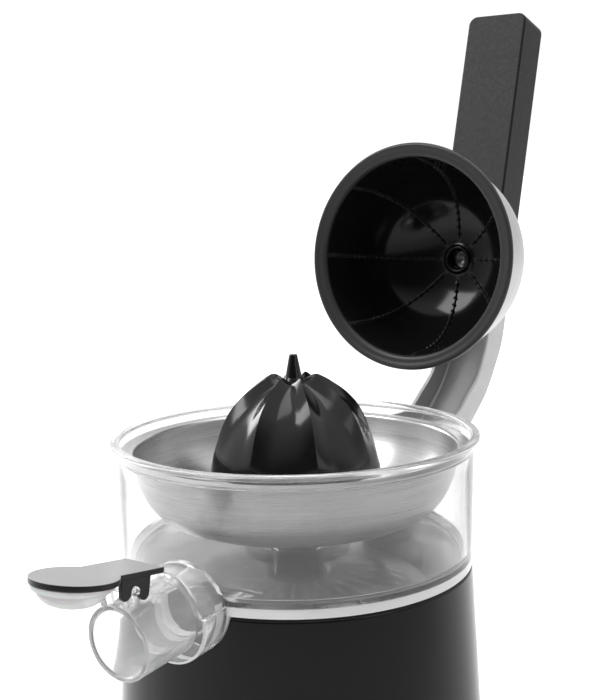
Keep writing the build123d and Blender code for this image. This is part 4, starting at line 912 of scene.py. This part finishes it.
# ------------------------------------------------------------------ hinge
post_poly = [(78, 62), (90, 62), (96.5, 70), (104.5, 128), (119.0, 154), (119.6, 160), (117.6, 168.0), (105.2, 170.5), (HINGE_Y + 10.6, HINGE_Z)]
post_poly = fillet(post_poly, [0, 4, 3, 12, 5, 3, 3, 3, 0], 5, False)
post_poly += [(HINGE_Y + 10.6 * math.cos(w), HINGE_Z + 10.6 * math.sin(w)) for w in [math.pi * i / 24 for i in range(1, 25)]] + [(78, 150)]
post = slab("post", post_poly, -10.5, 10.5, 1.6, SIDE, 5)
flange = slab("flange", fillet([(-17, 70), (17, 70), (17, 138), (-17, 138)], 8, 8), 77.5, 91.5, 2.0, Frame((0, 0, 0), (1, 0, 0), (0, -1, 0)) if False else Frame((0, 0, 0), (-1, 0, 0), (0, 1, 0)), 5)
cut(post, flange, "UNION")
cut(post, lathe("c", [(0, 55), (84.1, 55), (79.36, 147), (79.36, 149.5), (84.06, 152), (84.06, 200), (0, 200)], 256))
cut(post, lathe("c", [(0, -12), (4.02, -12), (4.02, 12), (0, 12)], 48, Frame((0, HINGE_Y, HINGE_Z), (0, 1, 0), (1, 0, 0))))
settle(post, "base", M["post"], ["hinge_post"], 32, True)
HF = Frame((0, HINGE_Y, HINGE_Z), (0, 1, 0), (1, 0, 0))
pinm = lathe("pivot", fillet([(0, -17.4), (6.4, -17.4), (6.4, -15.6), (4.0, -15.6), (4.0, 15.6), (6.4, 15.6), (6.4, 17.4), (0, 17.4)], [0, 1.1, 0.2, 0, 0, 0.2, 1.1, 0], 5), 64, HF)
for s in (-1, 1):
    hexa = [(2.2 * math.cos(math.radians(60 * i)), 2.2 * math.sin(math.radians(60 * i))) for i in range(6)]
    cut(pinm, slab("c", hexa, 16.2 if s > 0 else -18, 18 if s > 0 else -16.2, 0, HF))
settle(pinm, "base", M["zinc"], ["hinge_pin"], 35, True)

# ------------------------------------------------------------------ floor and light
floor_me = bpy.data.meshes.new("floor")
floor_me.from_pydata([(-60, -60, 0), (60, -60, 0), (60, 60, 0), (-60, 60, 0)], [], [(0, 1, 2, 3)])
floor = bpy.data.objects.new("floor", floor_me)
SCENE.collection.objects.link(floor)
k = Mat("pale_floor", Base_Color=(0.86, 0.86, 0.86, 1), Roughness=0.7)
k.b.inputs["Emission Color"].default_value = (1, 1, 1, 1)
sep = k.t.nodes.new("ShaderNodeSeparateXYZ")
k.link(k.co, sep.inputs[0])
behind = k.math("SUBTRACT", k.math("MULTIPLY", sep.outputs["Y"], 0.81), k.math("MULTIPLY", sep.outputs["X"], 0.57))
k.link(k.remap(behind, 0.0, 0.62, -0.1, 0.5), k.b.inputs["Emission Strength"])
k.colour(k.noise(6, 2), [(0.3, 0.70), (0.7, 0.72)])
floor_me.materials.append(k.m)

world = bpy.data.worlds.new("studio")
SCENE.world = world
world.use_nodes = True
wt = world.node_tree
wt.nodes.clear()
out = wt.nodes.new("ShaderNodeOutputWorld")
co = wt.nodes.new("ShaderNodeTexCoord")
dot = wt.nodes.new("ShaderNodeVectorMath")
dot.operation = "DOT_PRODUCT"
dot.inputs[1].default_value = (0.57, -0.81, 0.0)
wt.links.new(co.outputs["Generated"], dot.inputs[0])
ramp = wt.nodes.new("ShaderNodeValToRGB")
ramp.color_ramp.elements[0].position, ramp.color_ramp.elements[0].color = 0.50, (1.0, 1.0, 1.0, 1)
ramp.color_ramp.elements[1].position, ramp.color_ramp.elements[1].color = 0.80, (0.06, 0.06, 0.06, 1)
half = wt.nodes.new("ShaderNodeMath")
half.operation = "MULTIPLY_ADD"
half.inputs[1].default_value, half.inputs[2].default_value = 0.5, 0.5
wt.links.new(dot.outputs["Value"], half.inputs[0])
# the dark side stands low; overhead the room is pale all round
rise = wt.nodes.new("ShaderNodeSeparateXYZ")
wt.links.new(co.outputs["Generated"], rise.inputs[0])
over = wt.nodes.new("ShaderNodeMapRange")
over.inputs["From Min"].default_value, over.inputs["From Max"].default_value = 0.3, 0.75
over.inputs["To Min"].default_value, over.inputs["To Max"].default_value = 0.0, 0.22
wt.links.new(rise.outputs["Z"], over.inputs["Value"])
less = wt.nodes.new("ShaderNodeMath")
less.operation = "SUBTRACT"
wt.links.new(half.outputs[0], less.inputs[0])
wt.links.new(over.outputs["Result"], less.inputs[1])
wt.links.new(less.outputs[0], ramp.inputs["Fac"])
lp = wt.nodes.new("ShaderNodeLightPath")
bg = wt.nodes.new("ShaderNodeBackground")
white = wt.nodes.new("ShaderNodeBackground")
white.inputs["Color"].default_value, white.inputs["Strength"].default_value = (1, 1, 1, 1), 1.05
bg.inputs["Strength"].default_value = 0.9
wt.links.new(ramp.outputs["Color"], bg.inputs["Color"])
mix = wt.nodes.new("ShaderNodeMixShader")
wt.links.new(lp.outputs["Is Camera Ray"], mix.inputs[0])
wt.links.new(bg.outputs[0], mix.inputs[1])
wt.links.new(white.outputs[0], mix.inputs[2])
wt.links.new(mix.outputs[0], out.inputs["Surface"])


def lamp(name, pos, aim, size, power, size_y=None):
    d = bpy.data.lights.new(name, "AREA")
    d.shape = "RECTANGLE"
    d.size, d.size_y, d.energy = size, size_y or size, power
    o = bpy.data.objects.new(name, d)
    SCENE.collection.objects.link(o)
    o.location = pos
    o.rotation_euler = (Vector(aim) - Vector(pos)).to_track_quat("-Z", "Y").to_euler()
    return o


lamp("key", (-0.9, -1.1, 1.35), (0, 0, 0.22), 0.7, 16, 0.9)
lamp("side", (-1.4, 0.35, 0.75), (0, 0, 0.2), 0.7, 9, 0.7)
lamp("fill", (1.5, -0.1, 0.9), (0, 0, 0.22), 0.6, 2.5, 1.0)
lamp("top", (0.0, 0.2, 1.7), (0, 0, 0.2), 1.2, 12)

SCENE.view_settings.view_transform = "Standard"
SCENE.view_settings.look = "None"
SCENE.cycles.max_bounces = 24
SCENE.cycles.transmission_bounces = 20
SCENE.cycles.transparent_max_bounces = 24
SCENE.cycles.glossy_bounces = 8
SCENE.cycles.diffuse_bounces = 4
SCENE.cycles.use_denoising = True
SCENE.cycles.sample_clamp_indirect = 6.0
